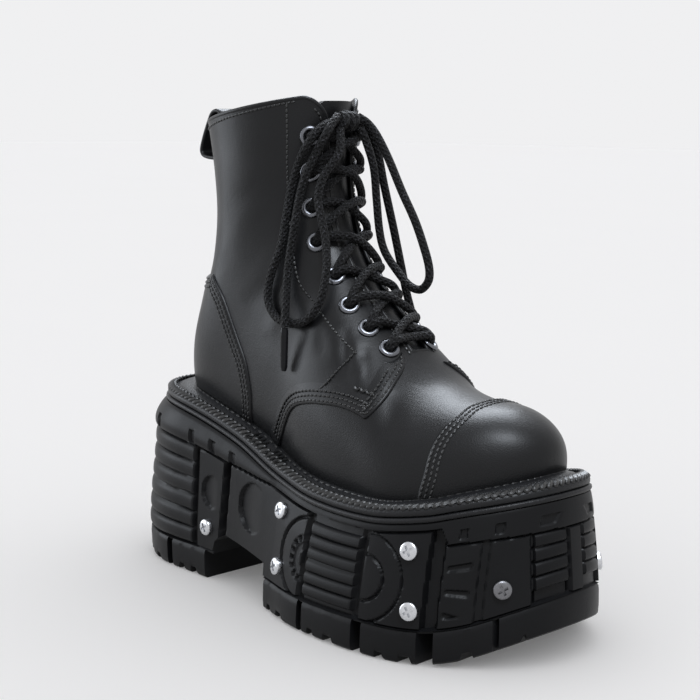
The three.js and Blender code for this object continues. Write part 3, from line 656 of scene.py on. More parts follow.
# ---- outline and side of the sole ---------------------------------------------------------------------
@dataclass
class Outline:
    """Outline of the midsole edge and the side of the platform below it."""

    back: float = 15.0
    front: float = 288.0
    heel_round: float = 46.0
    toe_round: float = 80.0
    end_power: float = 2.25
    heel_side_to: float = 110.0
    fore_side_from: float = 150.0
    widths: Table = field(
        default_factory=lambda: Table(
            "station centre half",
            [
                (15, 0, 38), (60, -1, 40), (108, -4.5, 40.5), (150, -6.5, 46),
                (180, -5.5, 53), (215, -4, 56), (250, -1.5, 55.5), (288, 2, 51),
            ],
        )
    )
    platform: Table = field(
        default_factory=lambda: Table(
            "station top bottom flare",
            [
                (0, 90, 0, 13), (30, 89.5, 0, 9), (60, 87, 0, 5.5), (105, 77.5, 0, 4.5), (140, 67, 0, 6.5),
                (170, 61.5, 0, 9.5), (215, 60.5, 0, 9), (245, 64.5, 0, 8), (262, 69, 3.5, 6.5),
                (278, 73, 11, 5.5), (295, 77.5, 20, 5),
            ],
        )
    )
    profile: Table = field(
        default_factory=lambda: Table(
            "height heel fore",
            [
                (0, 0.85, 0.9), (0.04, 0.95, 1), (0.3, 1, 0.9), (0.72, 0.66, 0.4), (0.88, 0.5, 0.12),
                (1, 0, -0.1),
            ],
        )
    )

    def __post_init__(self) -> None:
        """Makes the dense outline: heel centre, lateral side, toe centre, medial side."""
        t = np.linspace(0, 1, 4001)
        stations = self.back + (self.front - self.back) * (1 - np.cos(math.pi * t)) / 2
        lateral = self.edge(stations, Side.LATERAL)
        medial = self.edge(stations[::-1], Side.MEDIAL)
        ring = np.vstack([lateral, medial[1:]])
        lengths = run_lengths(ring)
        self.half_length = lengths[len(lateral) - 1]
        self.length = lengths[-1]
        self.ring, self.lengths = ring, lengths
        tangent = np.gradient(ring, axis=0)
        tangent[0] = tangent[-1] = (0, -1)
        self.normals = unit(np.stack([tangent[:, 1], -tangent[:, 0]], 1))

    def edge(self, station: np.ndarray, side: Side) -> np.ndarray:
        """Points (station, y) of the midsole edge on one side."""
        half = self.widths.at("half", station)
        half = half * closing(station - self.back, self.heel_round, self.end_power)
        half = half * closing(self.front - station, self.toe_round, self.end_power)
        return np.stack([station, self.widths.at("centre", station) + side.value * half], -1)

    def at(self, u: np.ndarray) -> tuple[np.ndarray, np.ndarray]:
        """Points and outward normals at lengths round the outline."""
        u = np.mod(u, self.length)
        point = np.stack([np.interp(u, self.lengths, self.ring[:, k]) for k in (0, 1)], -1)
        out = np.stack([np.interp(u, self.lengths, self.normals[:, k]) for k in (0, 1)], -1)
        return point, unit(out)

    def top(self, station: np.ndarray) -> np.ndarray:
        """Height of the platform's top."""
        return self.platform.at("top", station)

    def bottom(self, station: np.ndarray) -> np.ndarray:
        """Height of the platform's underside."""
        return self.platform.at("bottom", station)

    def spread(self, station: np.ndarray, z: np.ndarray) -> np.ndarray:
        """How far the platform's side stands outside the midsole edge.

        Args:
            station: station along the boot.
            z: height above the floor.

        Returns:
            The distance, along the outline's normal.
        """
        low, high = self.bottom(station), self.top(station)
        share = (z - low) / (high - low)
        fore = np.clip((station - self.heel_side_to) / (self.fore_side_from - self.heel_side_to), 0, 1)
        heel_side, fore_side = self.profile.at("heel", share), self.profile.at("fore", share)
        return (heel_side + (fore_side - heel_side) * fore) * self.platform.at("flare", station)

    def place(self, u: np.ndarray, z: np.ndarray, proud: np.ndarray = 0.0) -> np.ndarray:
        """Points of the platform's side.

        Args:
            u: lengths round the outline.
            z: heights above the floor.
            proud: how far outside the side.

        Returns:
            Array (..., 3) of points.
        """
        u, z, proud = np.broadcast_arrays(*(np.asarray(value, float) for value in (u, z, proud)))
        point, out = self.at(u)
        flat = point + out * (self.spread(point[..., 0], z) + proud)[..., None]
        return np.concatenate([flat, z[..., None]], -1)

    def find(self, station: np.ndarray, z: np.ndarray, side: Side = Side.LATERAL) -> np.ndarray:
        """Length round the outline at which the platform's side has a station, on one side."""
        station, z = np.broadcast_arrays(np.asarray(station, float), np.asarray(z, float))
        half = len(self.ring) // 2 + 1
        u = np.interp(station, self.ring[:half, 0], self.lengths[:half])
        for _ in range(6):
            u = np.clip(u + (station - self.place(u, z)[..., 0]), 0.01, self.half_length - 0.01)
        return u if side is Side.LATERAL else self.length - u

    def around(self, count: int) -> np.ndarray:
        """Lengths round the outline, alike on both sides."""
        half = count // 2
        lateral = np.linspace(0, self.half_length, half + 1)
        other = self.length - self.half_length
        return np.concatenate([lateral, self.half_length + np.linspace(0, other, half + 1)[1:-1]])


def pair_caps(count: int, start: int, flip: bool) -> list[list[int]]:
    """Faces that close a ring by joining its lateral points to its medial ones.

    Args:
        count: points in the ring.
        start: number of its first point.
        flip: True for faces that look the other way.

    Returns:
        The faces.
    """
    faces = []
    for k in range(count // 2):
        a, b, c, d = k, k + 1, (count - k - 1) % count, (count - k) % count
        face = [start + a, start + b, start + c, start + d]
        face = list(dict.fromkeys(face))
        faces.append(face[::-1] if flip else face)
    return faces


def outline_loft(maker: Maker, rings: np.ndarray) -> None:
    """Adds a loft through rings round the outline, closed across the boot at both ends."""
    total, size = rings.shape[:2]
    faces = strips(total, size, False)
    faces += pair_caps(size, 0, True) + pair_caps(size, (total - 1) * size, False)
    maker.add(rings.reshape(-1, 3), faces)


# ---- finishes ------------------------------------------------------------------------------------------
class Paint:
    """Short ways to build one material's node tree."""

    def __init__(self, name: str, roughness: float, metallic: float = 0.0, specular: float = 0.5) -> None:
        """Starts a material with one Principled shader.

        Args:
            name: material name.
            roughness: mean roughness.
            metallic: 1 for bare metal.
            specular: specular level.
        """
        self.material = bpy.data.materials.new(name)
        self.material.use_nodes = True
        self.nodes = self.material.node_tree.nodes
        self.shader = self.nodes["Principled BSDF"]
        self.set(self.shader, Roughness=roughness, Metallic=metallic)
        self.shader.inputs["Specular IOR Level"].default_value = specular
        self.place = self.nodes.new("ShaderNodeTexCoord").outputs["Object"]

    def set(self, node: bpy.types.Node, **values: float) -> bpy.types.Node:
        """Sets a node's inputs by name, and returns it."""
        for name, value in values.items():
            node.inputs[name.replace("_", " ")].default_value = value
        return node

    def join(self, out: bpy.types.NodeSocket, into: bpy.types.NodeSocket) -> None:
        """Links two sockets."""
        self.material.node_tree.links.new(out, into)

    def noise(self, scale: float, detail: float) -> bpy.types.NodeSocket:
        """Noise texture's factor, with its scale in cells a metre."""
        node = self.set(self.nodes.new("ShaderNodeTexNoise"), Scale=scale, Detail=detail)
        self.join(self.place, node.inputs["Vector"])
        return node.outputs["Fac"]

    def cells(self, scale: float) -> bpy.types.NodeSocket:
        """Voronoi distance, with its scale in cells a metre."""
        node = self.set(self.nodes.new("ShaderNodeTexVoronoi"), Scale=scale)
        self.join(self.place, node.inputs["Vector"])
        return node.outputs["Distance"]

    def range(
        self, value: bpy.types.NodeSocket, low: float, high: float, start: float = 0.3, end: float = 0.7
    ) -> bpy.types.NodeSocket:
        """Value stretched from start..end to low..high."""
        node = self.nodes.new("ShaderNodeMapRange")
        self.set(node, From_Min=start, From_Max=end, To_Min=low, To_Max=high)
        self.join(value, node.inputs["Value"])
        return node.outputs["Result"]

    def math(
        self, kind: str, a: bpy.types.NodeSocket, b: bpy.types.NodeSocket | float = 0.0
    ) -> bpy.types.NodeSocket:
        """Math node's result."""
        node = self.nodes.new("ShaderNodeMath")
        node.operation = kind
        self.join(a, node.inputs[0])
        if isinstance(b, float):
            node.inputs[1].default_value = b
        else:
            self.join(b, node.inputs[1])
        return node.outputs[0]

    def colour(self, value: bpy.types.NodeSocket, low: Sequence[float], high: Sequence[float]) -> None:
        """Base colour that runs between two linear colours with a value."""
        node = self.nodes.new("ShaderNodeValToRGB")
        node.color_ramp.elements[0].color = (*low, 1)
        node.color_ramp.elements[1].color = (*high, 1)
        self.join(value, node.inputs["Fac"])
        self.join(node.outputs["Color"], self.shader.inputs["Base Color"])

    def rough(self, value: bpy.types.NodeSocket) -> None:
        """Roughness from a value."""
        self.join(value, self.shader.inputs["Roughness"])

    def bump(self, heights: Sequence[tuple[bpy.types.NodeSocket, float, float]]) -> None:
        """Bumps in a row: (height, strength, distance in metres) each."""
        normal = None
        for height, strength, distance in heights:
            node = self.set(self.nodes.new("ShaderNodeBump"), Strength=strength, Distance=distance)
            self.join(height, node.inputs["Height"])
            if normal:
                self.join(normal, node.inputs["Normal"])
            normal = node.outputs["Normal"]
        self.join(normal, self.shader.inputs["Normal"])


@dataclass(frozen=True)
class Leather:
    """Smooth black leather with a soft semi-gloss finish."""

    name: str
    tone: float = 0.0035
    roughness: float = 0.4
    grain: float = 0.25

    def make(self) -> bpy.types.Material:
        """Builds the material."""
        paint = Paint(self.name, self.roughness, specular=0.2)
        paint.set(paint.shader, Coat_Weight=0.06, Coat_Roughness=0.25)
        broad, fine = paint.noise(28, 4), paint.noise(420, 2)
        tone = self.tone
        paint.colour(broad, (tone * 0.85, tone * 0.88, tone), (tone * 1.3, tone * 1.34, tone * 1.5))
        paint.rough(paint.range(broad, self.roughness - 0.05, self.roughness + 0.07))
        paint.bump([(paint.cells(1500), self.grain, 0.0002), (fine, self.grain * 0.6, 0.0003),
                    (paint.noise(60, 2), 0.10, 0.0012)])
        return paint.material


@dataclass(frozen=True)
class Rubber:
    """Satin black rubber with faint mottling."""

    name: str
    tone: float = 0.004
    roughness: float = 0.4

    def make(self) -> bpy.types.Material:
        """Builds the material."""
        paint = Paint(self.name, self.roughness, specular=0.13)
        broad = paint.noise(45, 4)
        tone = self.tone
        paint.colour(broad, (tone * 0.85, tone * 0.87, tone), (tone * 1.35, tone * 1.38, tone * 1.5))
        paint.rough(paint.range(broad, self.roughness - 0.06, self.roughness + 0.08))
        paint.bump([(paint.noise(900, 2), 0.18, 0.0002), (paint.noise(90, 2), 0.08, 0.001)])
        return paint.material


@dataclass(frozen=True)
class Metal:
    """Plated metal with fine brushing and dull spots."""

    name: str
    colour: tuple[float, float, float]
    roughness: float

    def make(self) -> bpy.types.Material:
        """Builds the material."""
        paint = Paint(self.name, self.roughness, metallic=1.0)
        spots = paint.noise(500, 3)
        paint.colour(spots, tuple(0.8 * c for c in self.colour), self.colour)
        paint.rough(paint.range(spots, self.roughness * 0.75, self.roughness * 1.4))
        paint.bump([(paint.noise(1800, 2), 0.06, 0.0001)])
        return paint.material


@dataclass(frozen=True)
class Cord:
    """Round braided lace: two sets of strands that cross along the cord, with pale flecks."""

    name: str
    pitch: float = 3.2
    strands: float = 5.0
    tone: float = 0.003

    def make(self) -> bpy.types.Material:
        """Builds the material, on a UV of length in millimetres and turns."""
        paint = Paint(self.name, 0.65, specular=0.16)
        split = paint.nodes.new("ShaderNodeSeparateXYZ")
        uv = paint.nodes.new("ShaderNodeUVMap")
        uv.uv_map = "length_turn"
        paint.join(uv.outputs["UV"], split.inputs[0])
        along = paint.math("MULTIPLY", split.outputs["X"], 2 * math.pi / self.pitch)
        round_it = paint.math("MULTIPLY", split.outputs["Y"], 2 * math.pi * self.strands)
        one = paint.math("SINE", paint.math("ADD", along, round_it))
        other = paint.math("SINE", paint.math("SUBTRACT", along, round_it))
        weave = paint.math("MAXIMUM", one, other)
        flecks = paint.math("MULTIPLY", paint.range(paint.noise(1100, 1), 0, 1, 0.58, 0.7), weave)
        paint.colour(flecks, (self.tone, self.tone, self.tone * 1.1), (0.035, 0.035, 0.04))
        paint.bump([(weave, 0.9, 0.0005), (paint.noise(2500, 2), 0.3, 0.0002)])
        paint.set(paint.shader, Sheen_Weight=0.02, Sheen_Roughness=0.4)
        return paint.material


@dataclass(frozen=True)
class Thread:
    """Waxed black thread."""

    name: str
    tone: float = 0.006

    def make(self) -> bpy.types.Material:
        """Builds the material."""
        paint = Paint(self.name, 0.36, specular=0.4)
        strands = paint.noise(1500, 2)
        paint.colour(strands, (self.tone * 0.6,) * 3, (self.tone * 2.2,) * 3)
        paint.bump([(strands, 0.4, 0.0002)])
        return paint.material


def default_finish(style: type, *values: object) -> Field:
    """Dataclass field whose default is a finish of one style, made with the object."""
    return field(default_factory=lambda: style(*values).make())


@dataclass
class Finishes:
    """Every material of the boot."""

    leather: bpy.types.Material = default_finish(Leather, "upper_leather")
    welt: bpy.types.Material = default_finish(Leather, "welt_leather", 0.006, 0.42, 0.5)
    lining: bpy.types.Material = default_finish(Leather, "insole_leather", 0.012, 0.6, 0.4)
    rubber: bpy.types.Material = default_finish(Rubber, "sole_rubber")
    cord: bpy.types.Material = default_finish(Cord, "lace_cord")
    thread: bpy.types.Material = default_finish(Thread, "stitch_thread")
    tape: bpy.types.Material = default_finish(Leather, "zip_tape", 0.006, 0.75, 0.9)
    nickel: bpy.types.Material = default_finish(Metal, "nickel", (0.66, 0.67, 0.69), 0.26)
    steel: bpy.types.Material = default_finish(Metal, "grey_steel", (0.2, 0.2, 0.21), 0.35)
    gunmetal: bpy.types.Material = default_finish(Metal, "eyelet_metal", (0.16, 0.165, 0.18), 0.28)
    zip_metal: bpy.types.Material = default_finish(Metal, "zip_metal", (0.09, 0.09, 0.1), 0.3)
    aglet: bpy.types.Material = default_finish(Rubber, "aglet_plastic", 0.006, 0.15)


# ---- repeated shapes -----------------------------------------------------------------------------------
def repeat_tree() -> bpy.types.NodeTree:
    """Geometry Nodes tree that puts a shape on every point, its Z along facing and its X along 'along'."""
    tree = bpy.data.node_groups.new("repeat_shape", "GeometryNodeTree")
    for name, kind in (("Geometry", "NodeSocketGeometry"), ("Shape", "NodeSocketObject"),
                       ("Size", "NodeSocketVector"), ("Finish", "NodeSocketMaterial")):
        tree.interface.new_socket(name, in_out="INPUT", socket_type=kind)
    tree.interface.new_socket("Geometry", in_out="OUTPUT", socket_type="NodeSocketGeometry")
    nodes, link = tree.nodes, tree.links.new
    given, result = nodes.new("NodeGroupInput"), nodes.new("NodeGroupOutput")
    info = nodes.new("GeometryNodeObjectInfo")
    link(given.outputs["Shape"], info.inputs["Object"])
    put = nodes.new("GeometryNodeInstanceOnPoints")
    link(given.outputs["Geometry"], put.inputs["Points"])
    link(info.outputs["Geometry"], put.inputs["Instance"])
    turn = None
    for attribute, axis in (("facing", "Z"), ("along", "X")):
        read = nodes.new("GeometryNodeInputNamedAttribute")
        read.data_type = "FLOAT_VECTOR"
        read.inputs["Name"].default_value = attribute
        align = nodes.new("FunctionNodeAlignRotationToVector")
        align.axis = axis
        align.pivot_axis = "AUTO" if turn is None else "Z"
        link(read.outputs["Attribute"], align.inputs["Vector"])
        if turn:
            link(turn, align.inputs["Rotation"])
        turn = align.outputs["Rotation"]
    link(turn, put.inputs["Rotation"])
    link(given.outputs["Size"], put.inputs["Scale"])
    real = nodes.new("GeometryNodeRealizeInstances")
    link(put.outputs["Instances"], real.inputs["Geometry"])
    paint = nodes.new("GeometryNodeSetMaterial")
    link(real.outputs["Geometry"], paint.inputs["Geometry"])
    link(given.outputs["Finish"], paint.inputs["Material"])
    link(paint.outputs["Geometry"], result.inputs["Geometry"])
    return tree


def lathe_shape(
    name: str, profile: Sequence[tuple[float, float]], sides: int, ring: bool = False
) -> bpy.types.Object:
    """Shape turned round Z, to be repeated.

    Args:
        name: shape name.
        profile: (radius, height) points in millimetres, upwards on the outside.
        sides: number of sides.
        ring: True where the profile closes on itself round a hole.

    Returns:
        The shape, in metres, linked to nothing.
    """
    angles = np.arange(sides) * 2 * math.pi / sides
    points = []
    total = len(profile)
    for radius, height in profile:
        points.extend((radius * math.cos(a), radius * math.sin(a), height) for a in angles)
    faces = strips(total, sides, ring)
    if not ring:
        faces += [list(range(sides))[::-1], [(total - 1) * sides + k for k in range(sides)]]
    mesh = bpy.data.meshes.new(name)
    mesh.from_pydata((np.array(points) * MM).tolist(), [], faces)
    turn_outwards(mesh)
    finish_mesh(mesh, DEFAULT_SHARP)
    return bpy.data.objects.new(name, mesh)


def bead_shape(name: str, sides: int = 6) -> bpy.types.Object:
    """Capsule of length 1 along X and width 1, to be repeated and scaled."""
    profile = [(0.16, -0.5), (0.42, -0.4), (0.5, -0.15), (0.5, 0.15), (0.42, 0.4), (0.16, 0.5)]
    shape = lathe_shape(name, profile, sides)
    shape.data.transform(Matrix.Rotation(math.pi / 2, 4, "Y"))
    return shape


@dataclass
class Repeater:
    """Puts copies of one shape along paths, by Geometry Nodes."""

    tree: bpy.types.NodeTree = field(default_factory=repeat_tree)

    def make(
        self, name: str, shape: bpy.types.Object, points: np.ndarray, facing: np.ndarray, along: np.ndarray,
        size: Sequence[float], material: bpy.types.Material,
    ) -> bpy.types.Object:
        """Makes one plain mesh of the copies.

        Args:
            name: piece name.
            shape: object that is repeated.
            points: where the copies go, in station millimetres.
            facing: direction of each copy's Z.
            along: direction of each copy's X.
            size: scale along the shape's X, Y and Z.
            material: their finish.

        Returns:
            The new object.
        """
        mesh = bpy.data.meshes.new(name + "_points")
        mesh.from_pydata(to_frame(points).tolist(), [], [])
        for attribute, values in (("facing", facing), ("along", along)):
            layer = mesh.attributes.new(attribute, "FLOAT_VECTOR", "POINT")
            layer.data.foreach_set("vector", np.asarray(values, np.float32).ravel())
        holder = show(name, mesh)
        bpy.context.scene.collection.objects.link(shape)
        modifier = holder.modifiers.new("repeat", "NODES")
        modifier.node_group = self.tree
        wanted = {"Shape": shape, "Size": tuple(float(s) for s in size), "Finish": material}
        for item in self.tree.interface.items_tree:
            if item.in_out == "INPUT" and item.name in wanted:
                modifier[item.identifier] = wanted[item.name]
        made = plain_mesh(holder)
        holder.modifiers.remove(modifier)
        made.name = name
        holder.data = made
        if not made.materials:
            made.materials.append(material)
        finish_mesh(made, 50)
        bpy.context.scene.collection.objects.unlink(shape)
        bpy.data.meshes.remove(mesh)
        return holder


# ---- upper ---------------------------------------------------------------------------------------------
@dataclass
class Row:
    """Rows of stitches that follow a path."""

    points: list[np.ndarray] = field(default_factory=list)
    facing: list[np.ndarray] = field(default_factory=list)
    along: list[np.ndarray] = field(default_factory=list)

    def add(self, points: np.ndarray, facing: np.ndarray, along: np.ndarray | None = None) -> None:
        """Adds places of stitches, with along worked out from the path unless it is given."""
        self.points.append(points)
        self.facing.append(facing)
        self.along.append(unit(np.gradient(points, axis=0)) if along is None else along)

    def make(
        self, repeater: Repeater, name: str, shape: bpy.types.Object, size: Sequence[float],
        material: bpy.types.Material,
    ) -> bpy.types.Object:
        """Makes the stitches as one piece."""
        arrays = [np.vstack(rows) for rows in (self.points, self.facing, self.along)]
        return repeater.make(name, shape, *arrays, size, material)


@dataclass
class Upper:
    """Leather upper with its tongue, overlays, edge bead and stitches."""

    last: Last
    outline: Outline
    finishes: Finishes
    wall: float = 2.0
    gap: float = 0.3
    tongue_thick: float = 3.0
    welt_from: float = 3.2
    throat_reach: float = 34.0
    tongue_spread: float = 11.0
    counter_top: float = 167.0
    throat: Sequence = (
        (190, 127, -5.5, 7), (168, 139, -6.5, 9), (146, 156, -7, 10.5), (131, 178, -7, 11.5),
        (124, 208, -7, 12), (122, 240, -7, 12),
    )
    mouth: Sequence = (
        (121.8, 246, -8, 13), (121.5, 250.5, -10.5, 15.5), (121.3, 254, -14.5, 19.5), (121, 257, -21, 26),
        (120, 275, -24, 29),
    )
    tongue_top: Sequence = ((121.7, 246, -6, 11), (121.5, 251, -2, 7), (121.3, 254, 3, 2))
    heel_seam: Sequence = (
        (71, -30, 163), (77, -32, 157), (83, -33, 150), (93, -33, 133), (101, -34, 120), (104, -34, 112),
        (106, -34, 101), (105, -33, 89), (104, -33, 80),
    )
    quarter_seam: Sequence = (
        (122, -37, 70), (132.4, -40.4, 82.5), (137.3, -40.8, 90.7), (143.1, -41.2, 99), (150, -41.8, 103.6),
        (160.3, -42.6, 106.3), (170.4, -43.4, 107.4), (178.3, -44.1, 108), (186.9, -44.8, 107.8),
        (195.3, -45.4, 106.5), (198, -42.5, 104.5), (201.4, -38.4, 109.4), (203.6, -32.4, 117),
        (202.5, -25, 122.8),
        (200.8, -17.6, 128.6), (198.1, -14.7, 132.1), (194.9, -13.2, 134.9),
    )
    toe_seam: Sequence = (
        (231, -42, 66), (232, -42, 75), (234, -41, 84), (234, -38, 92), (234, -33, 99), (235, -27, 105),
        (236, -20, 109), (236, -13, 112), (237, -6, 113), (237, 0, 113.2),
    )
    facing_seam: Sequence = (
        (121, -24, 252), (121, -23.5, 237), (121, -23.5, 221), (122, -23.5, 202), (127, -25, 180),
        (135, -27, 163), (148, -29, 154), (165, -31, 142), (179, -31, 133),
    )
    drop_seam: Sequence = ((179, -31, 133), (176, -36, 127), (171, -41, 119), (166, -43, 114))
    tack_seam: Sequence = (
        (187.5, -38.2, 117), (191, -37.5, 116.4), (194.5, -36.7, 115.6), (198, -35.6, 114.7),
    )

    def throat_prism(self, rows: Sequence, spread: float, margin: float) -> bpy.types.Object:
        """Prism through the throat, wider than it by spread on both sides.

        Args:
            rows: (station, height, lateral, medial) along its rear line.
            spread: widening of each side.
            margin: how far its lowest end goes forward.

        Returns:
            The prism.
        """
        rows = np.array(rows, float)
        after, before = np.roll(rows, -1, 0), np.roll(rows, 1, 0)
        after[-1], before[0] = rows[-1], rows[0]
        along = unit(after[:, :2] - before[:, :2])
        ahead = np.stack([along[:, 1], -along[:, 0]], 1) * self.throat_reach
        rear, fore = rows[:, :2].copy(), (rows[:, :2] + ahead)[::-1]
        rear[0, 0] += margin
        fore[-1, 0] += margin
        both = np.vstack([rows, rows[::-1]])
        return prism(np.vstack([rear, fore]), both[:, 2] - spread, both[:, 3] + spread, self.finishes.leather)

    def under(self) -> bpy.types.Object:
        """Everything below the upper's lower edge."""
        stations = np.arange(-20, 330, 10)
        tops = np.column_stack([stations, self.outline.top(stations) + self.welt_from])
        return prism(np.vstack([tops, [(320, -10), (-20, -10)]]), -ACROSS, ACROSS, self.finishes.leather)

    def shell(self) -> bpy.types.Object:
        """Upper as one hollow shell, with soft creases."""
        last = self.last
        toe = [0.03, 0.07, 0.12, 0.18, 0.25, 0.34, 0.45, 0.58, 0.72, 0.88, 1.05, 1.25, 1.45, 1.7]
        places = np.array([*toe, *np.arange(1.95, last.collar, 0.07), last.collar])
        turns = np.arange(200) * 2 * math.pi / 200
        grid_p, grid_t = np.meshgrid(places, turns, indexing="ij")
        skin = last.skin(grid_p, grid_t)
        maker = Maker("upper_shell")
        maker.rings(skin - last.normal(grid_p, grid_t) * last.dip(skin)[..., None])
        shell = maker.build(self.finishes.leather)
        tools = [last.form(-self.wall, self.finishes.leather, 0.4), self.under(),
                 self.throat_prism([*self.throat, *self.mouth], 0, 0)]
        return combine(shell, tools, Operation.CUT, 35)

    def tongue(self) -> bpy.types.Object:
        """Tongue under the throat."""
        leather = self.finishes.leather
        tongue = self.last.form(-self.wall - self.gap, leather, 0.14)
        tongue.name = tongue.data.name = "tongue_leather"
        inner = self.last.form(-self.wall - self.gap - self.tongue_thick, leather, 0.4)
        combine(tongue, [inner], Operation.CUT)
        width = self.throat_prism([*self.throat, *self.tongue_top], self.tongue_spread, 14)
        return combine(tongue, [width], Operation.KEEP, 35)

    def throat_edge(self, side: Side, step: float = 1.5) -> np.ndarray:
        """Places and turns along one edge of the throat, from its foot to the collar."""
        rows = np.array([*self.throat, *self.mouth], float)
        t = np.linspace(0, len(rows) - 1, 260)
        line = np.stack([np.interp(t, np.arange(len(rows)), rows[:, k]) for k in range(4)], 1)
        y = line[:, 2] if side is Side.LATERAL else line[:, 3]
        along = unit(np.gradient(line[:, :2], axis=0))
        places = np.linspace(2, self.last.collar, 500)
        found = []
        for k in range(len(line)):
            middle = self.last.sections.at("centre", places)
            half = self.last.sections.at("half", places)
            power = 2 / self.last.sections.at("upper", places)
            reach = np.clip(np.abs(y[k] - middle) / half, 0, 1)
            turns = np.arcsin(reach ** (1 / power)) * (-np.sign(y[k] - middle))
            skin = self.last.skin(places, turns)
            level = (skin[:, 0] - line[k, 0]) * along[k, 0] + (skin[:, 2] - line[k, 1]) * along[k, 1]
            crossings = np.where(np.diff(np.sign(level)) != 0)[0]
            if len(crossings):
                found.append((places[crossings[0]], turns[crossings[0]]))
        found = np.array(found)
        skin = self.last.skin(found[:, 0], found[:, 1])
        lengths = run_lengths(skin)
        at = np.linspace(0, lengths[-1], int(lengths[-1] / step))
        path = np.stack([np.interp(at, lengths, found[:, k]) for k in (0, 1)], 1)
        soft = path.copy()
        for _ in range(3):
            soft[1:-1] = (soft[:-2] + soft[1:-1] * 2 + soft[2:]) / 4
        return soft

    def rim(self) -> np.ndarray:
        """Places and turns along the whole upper edge: throat, collar, throat and foot."""
        lateral, medial = self.throat_edge(Side.LATERAL), self.throat_edge(Side.MEDIAL)
        turns = np.linspace(lateral[-1, 1], 2 * math.pi + medial[-1, 1], 150)[1:-1]
        collar = np.column_stack([np.full(len(turns), self.last.collar), turns])
        back = medial[::-1].copy()
        back[:, 1] += 2 * math.pi
        foot = np.linspace(medial[0], lateral[0], 12)[1:-1]
        foot[:, 1] += 2 * math.pi
        return np.vstack([lateral, collar, back, foot])

    def bead(self) -> bpy.types.Object:
        """Rolled edge of the throat and collar."""
        rim = self.rim()
        maker = Maker("edge_bead")
        maker.tube(self.last.out(rim[:, 0], rim[:, 1], np.full(len(rim), -0.85)), 1.25, 8, closed=True)
        return maker.build(self.finishes.leather, SEAM_SHARP)

    def sheet(self, maker: Maker, places: np.ndarray, turns: np.ndarray, height: np.ndarray) -> None:
        """Adds a thin overlay on a grid of places and turns, of a height above the skin."""
        skin, normal = self.last.skin(places, turns), self.last.normal(places, turns)
        sunk = skin - normal * self.last.dip(skin)[..., None]
        maker.slab(sunk + normal * height[..., None], sunk - normal * 0.5)

    @staticmethod
    def lip(distance: np.ndarray, thick: float, radius: float = 0.9) -> np.ndarray:
        """Height of an overlay near its edge, rounded."""
        t = np.clip(distance / radius, 0, 1)
        return thick * np.sqrt(np.maximum(1 - (1 - t) ** 2, 0)) - 0.02

    def heel_counter(self) -> bpy.types.Object:
        """Counter round the heel, its edge on the heel seam."""
        seam = self.last.seam(self.heel_seam, 1.5)
        rows = len(seam)
        place = np.linspace(9, 16.5, 800)
        back_z = self.last.skin(place, math.pi)[:, 2]
        heights = np.linspace(self.counter_top, 84.0, rows)
        back = np.interp(heights, back_z, place)
        w = np.concatenate([[0, 0.004, 0.009, 0.015, 0.022], np.linspace(0.035, 1, 36)])
        ease_w = 1 - (1 - w) ** 1.6
        lateral_p = seam[:, :1] + (back - seam[:, 0])[:, None] * ease_w
        lateral_t = seam[:, 1:] + (math.pi - seam[:, 1:]) * w
        places = np.hstack([lateral_p, lateral_p[:, -2::-1]])
        turns = np.hstack([lateral_t, 2 * math.pi - lateral_t[:, -2::-1]])
        skin = self.last.skin(places, turns)
        from_side = np.linalg.norm(skin - skin[:, :1], axis=2)
        from_side = np.minimum(from_side, from_side[:, ::-1])
        from_top = np.linalg.norm(skin - skin[:1], axis=2)
        maker = Maker("heel_counter")
        self.sheet(maker, places, turns, self.lip(np.minimum(from_side, from_top), 1.2))
        return maker.build(self.finishes.leather, SEAM_SHARP)

    def toe_cap(self) -> bpy.types.Object:
        """Toe cap, its edge on the toe seam."""
        lateral = self.last.seam(self.toe_seam, 2)
        medial = lateral[-2::-1] * [1, -1]
        seam = np.vstack([lateral, medial])
        w = np.concatenate([[0, 0.008, 0.018, 0.03, 0.045], np.linspace(0.07, 1, 40)])
        places = seam[:, :1] + (0.00002 - seam[:, :1]) * (1 - (1 - w) ** 2.2)
        turns = np.clip(seam[:, 1:] * (1 + 0.9 * w), -math.pi, math.pi)
        skin = self.last.skin(places, turns)
        maker = Maker("toe_cap")
        self.sheet(maker, places, turns, self.lip(np.linalg.norm(skin - skin[:, :1], axis=2), 1.2))
        return maker.build(self.finishes.leather, SEAM_SHARP)

    def quarter_points(self, side: Side) -> Sequence:
        """Points of the quarter's front edge, which ends lower on the medial side."""
        return self.quarter_seam if side is Side.LATERAL else self.quarter_seam[:-2]

    def heel_top(self, seam: np.ndarray) -> np.ndarray:
        """Places and turns of the counter's top edge, from the back's middle to the heel seam."""
        places = np.linspace(12, 16.5, 600)
        back = np.interp(self.counter_top, self.last.skin(places, math.pi)[:, 2], places)
        w = np.linspace(1, 0, 24)[:-1]
        place = seam[0, 0] + (back - seam[0, 0]) * (1 - (1 - w) ** 1.6)
        turn = seam[0, 1] + (math.pi * np.sign(seam[0, 1]) - seam[0, 1]) * w
        return np.column_stack([place, turn])

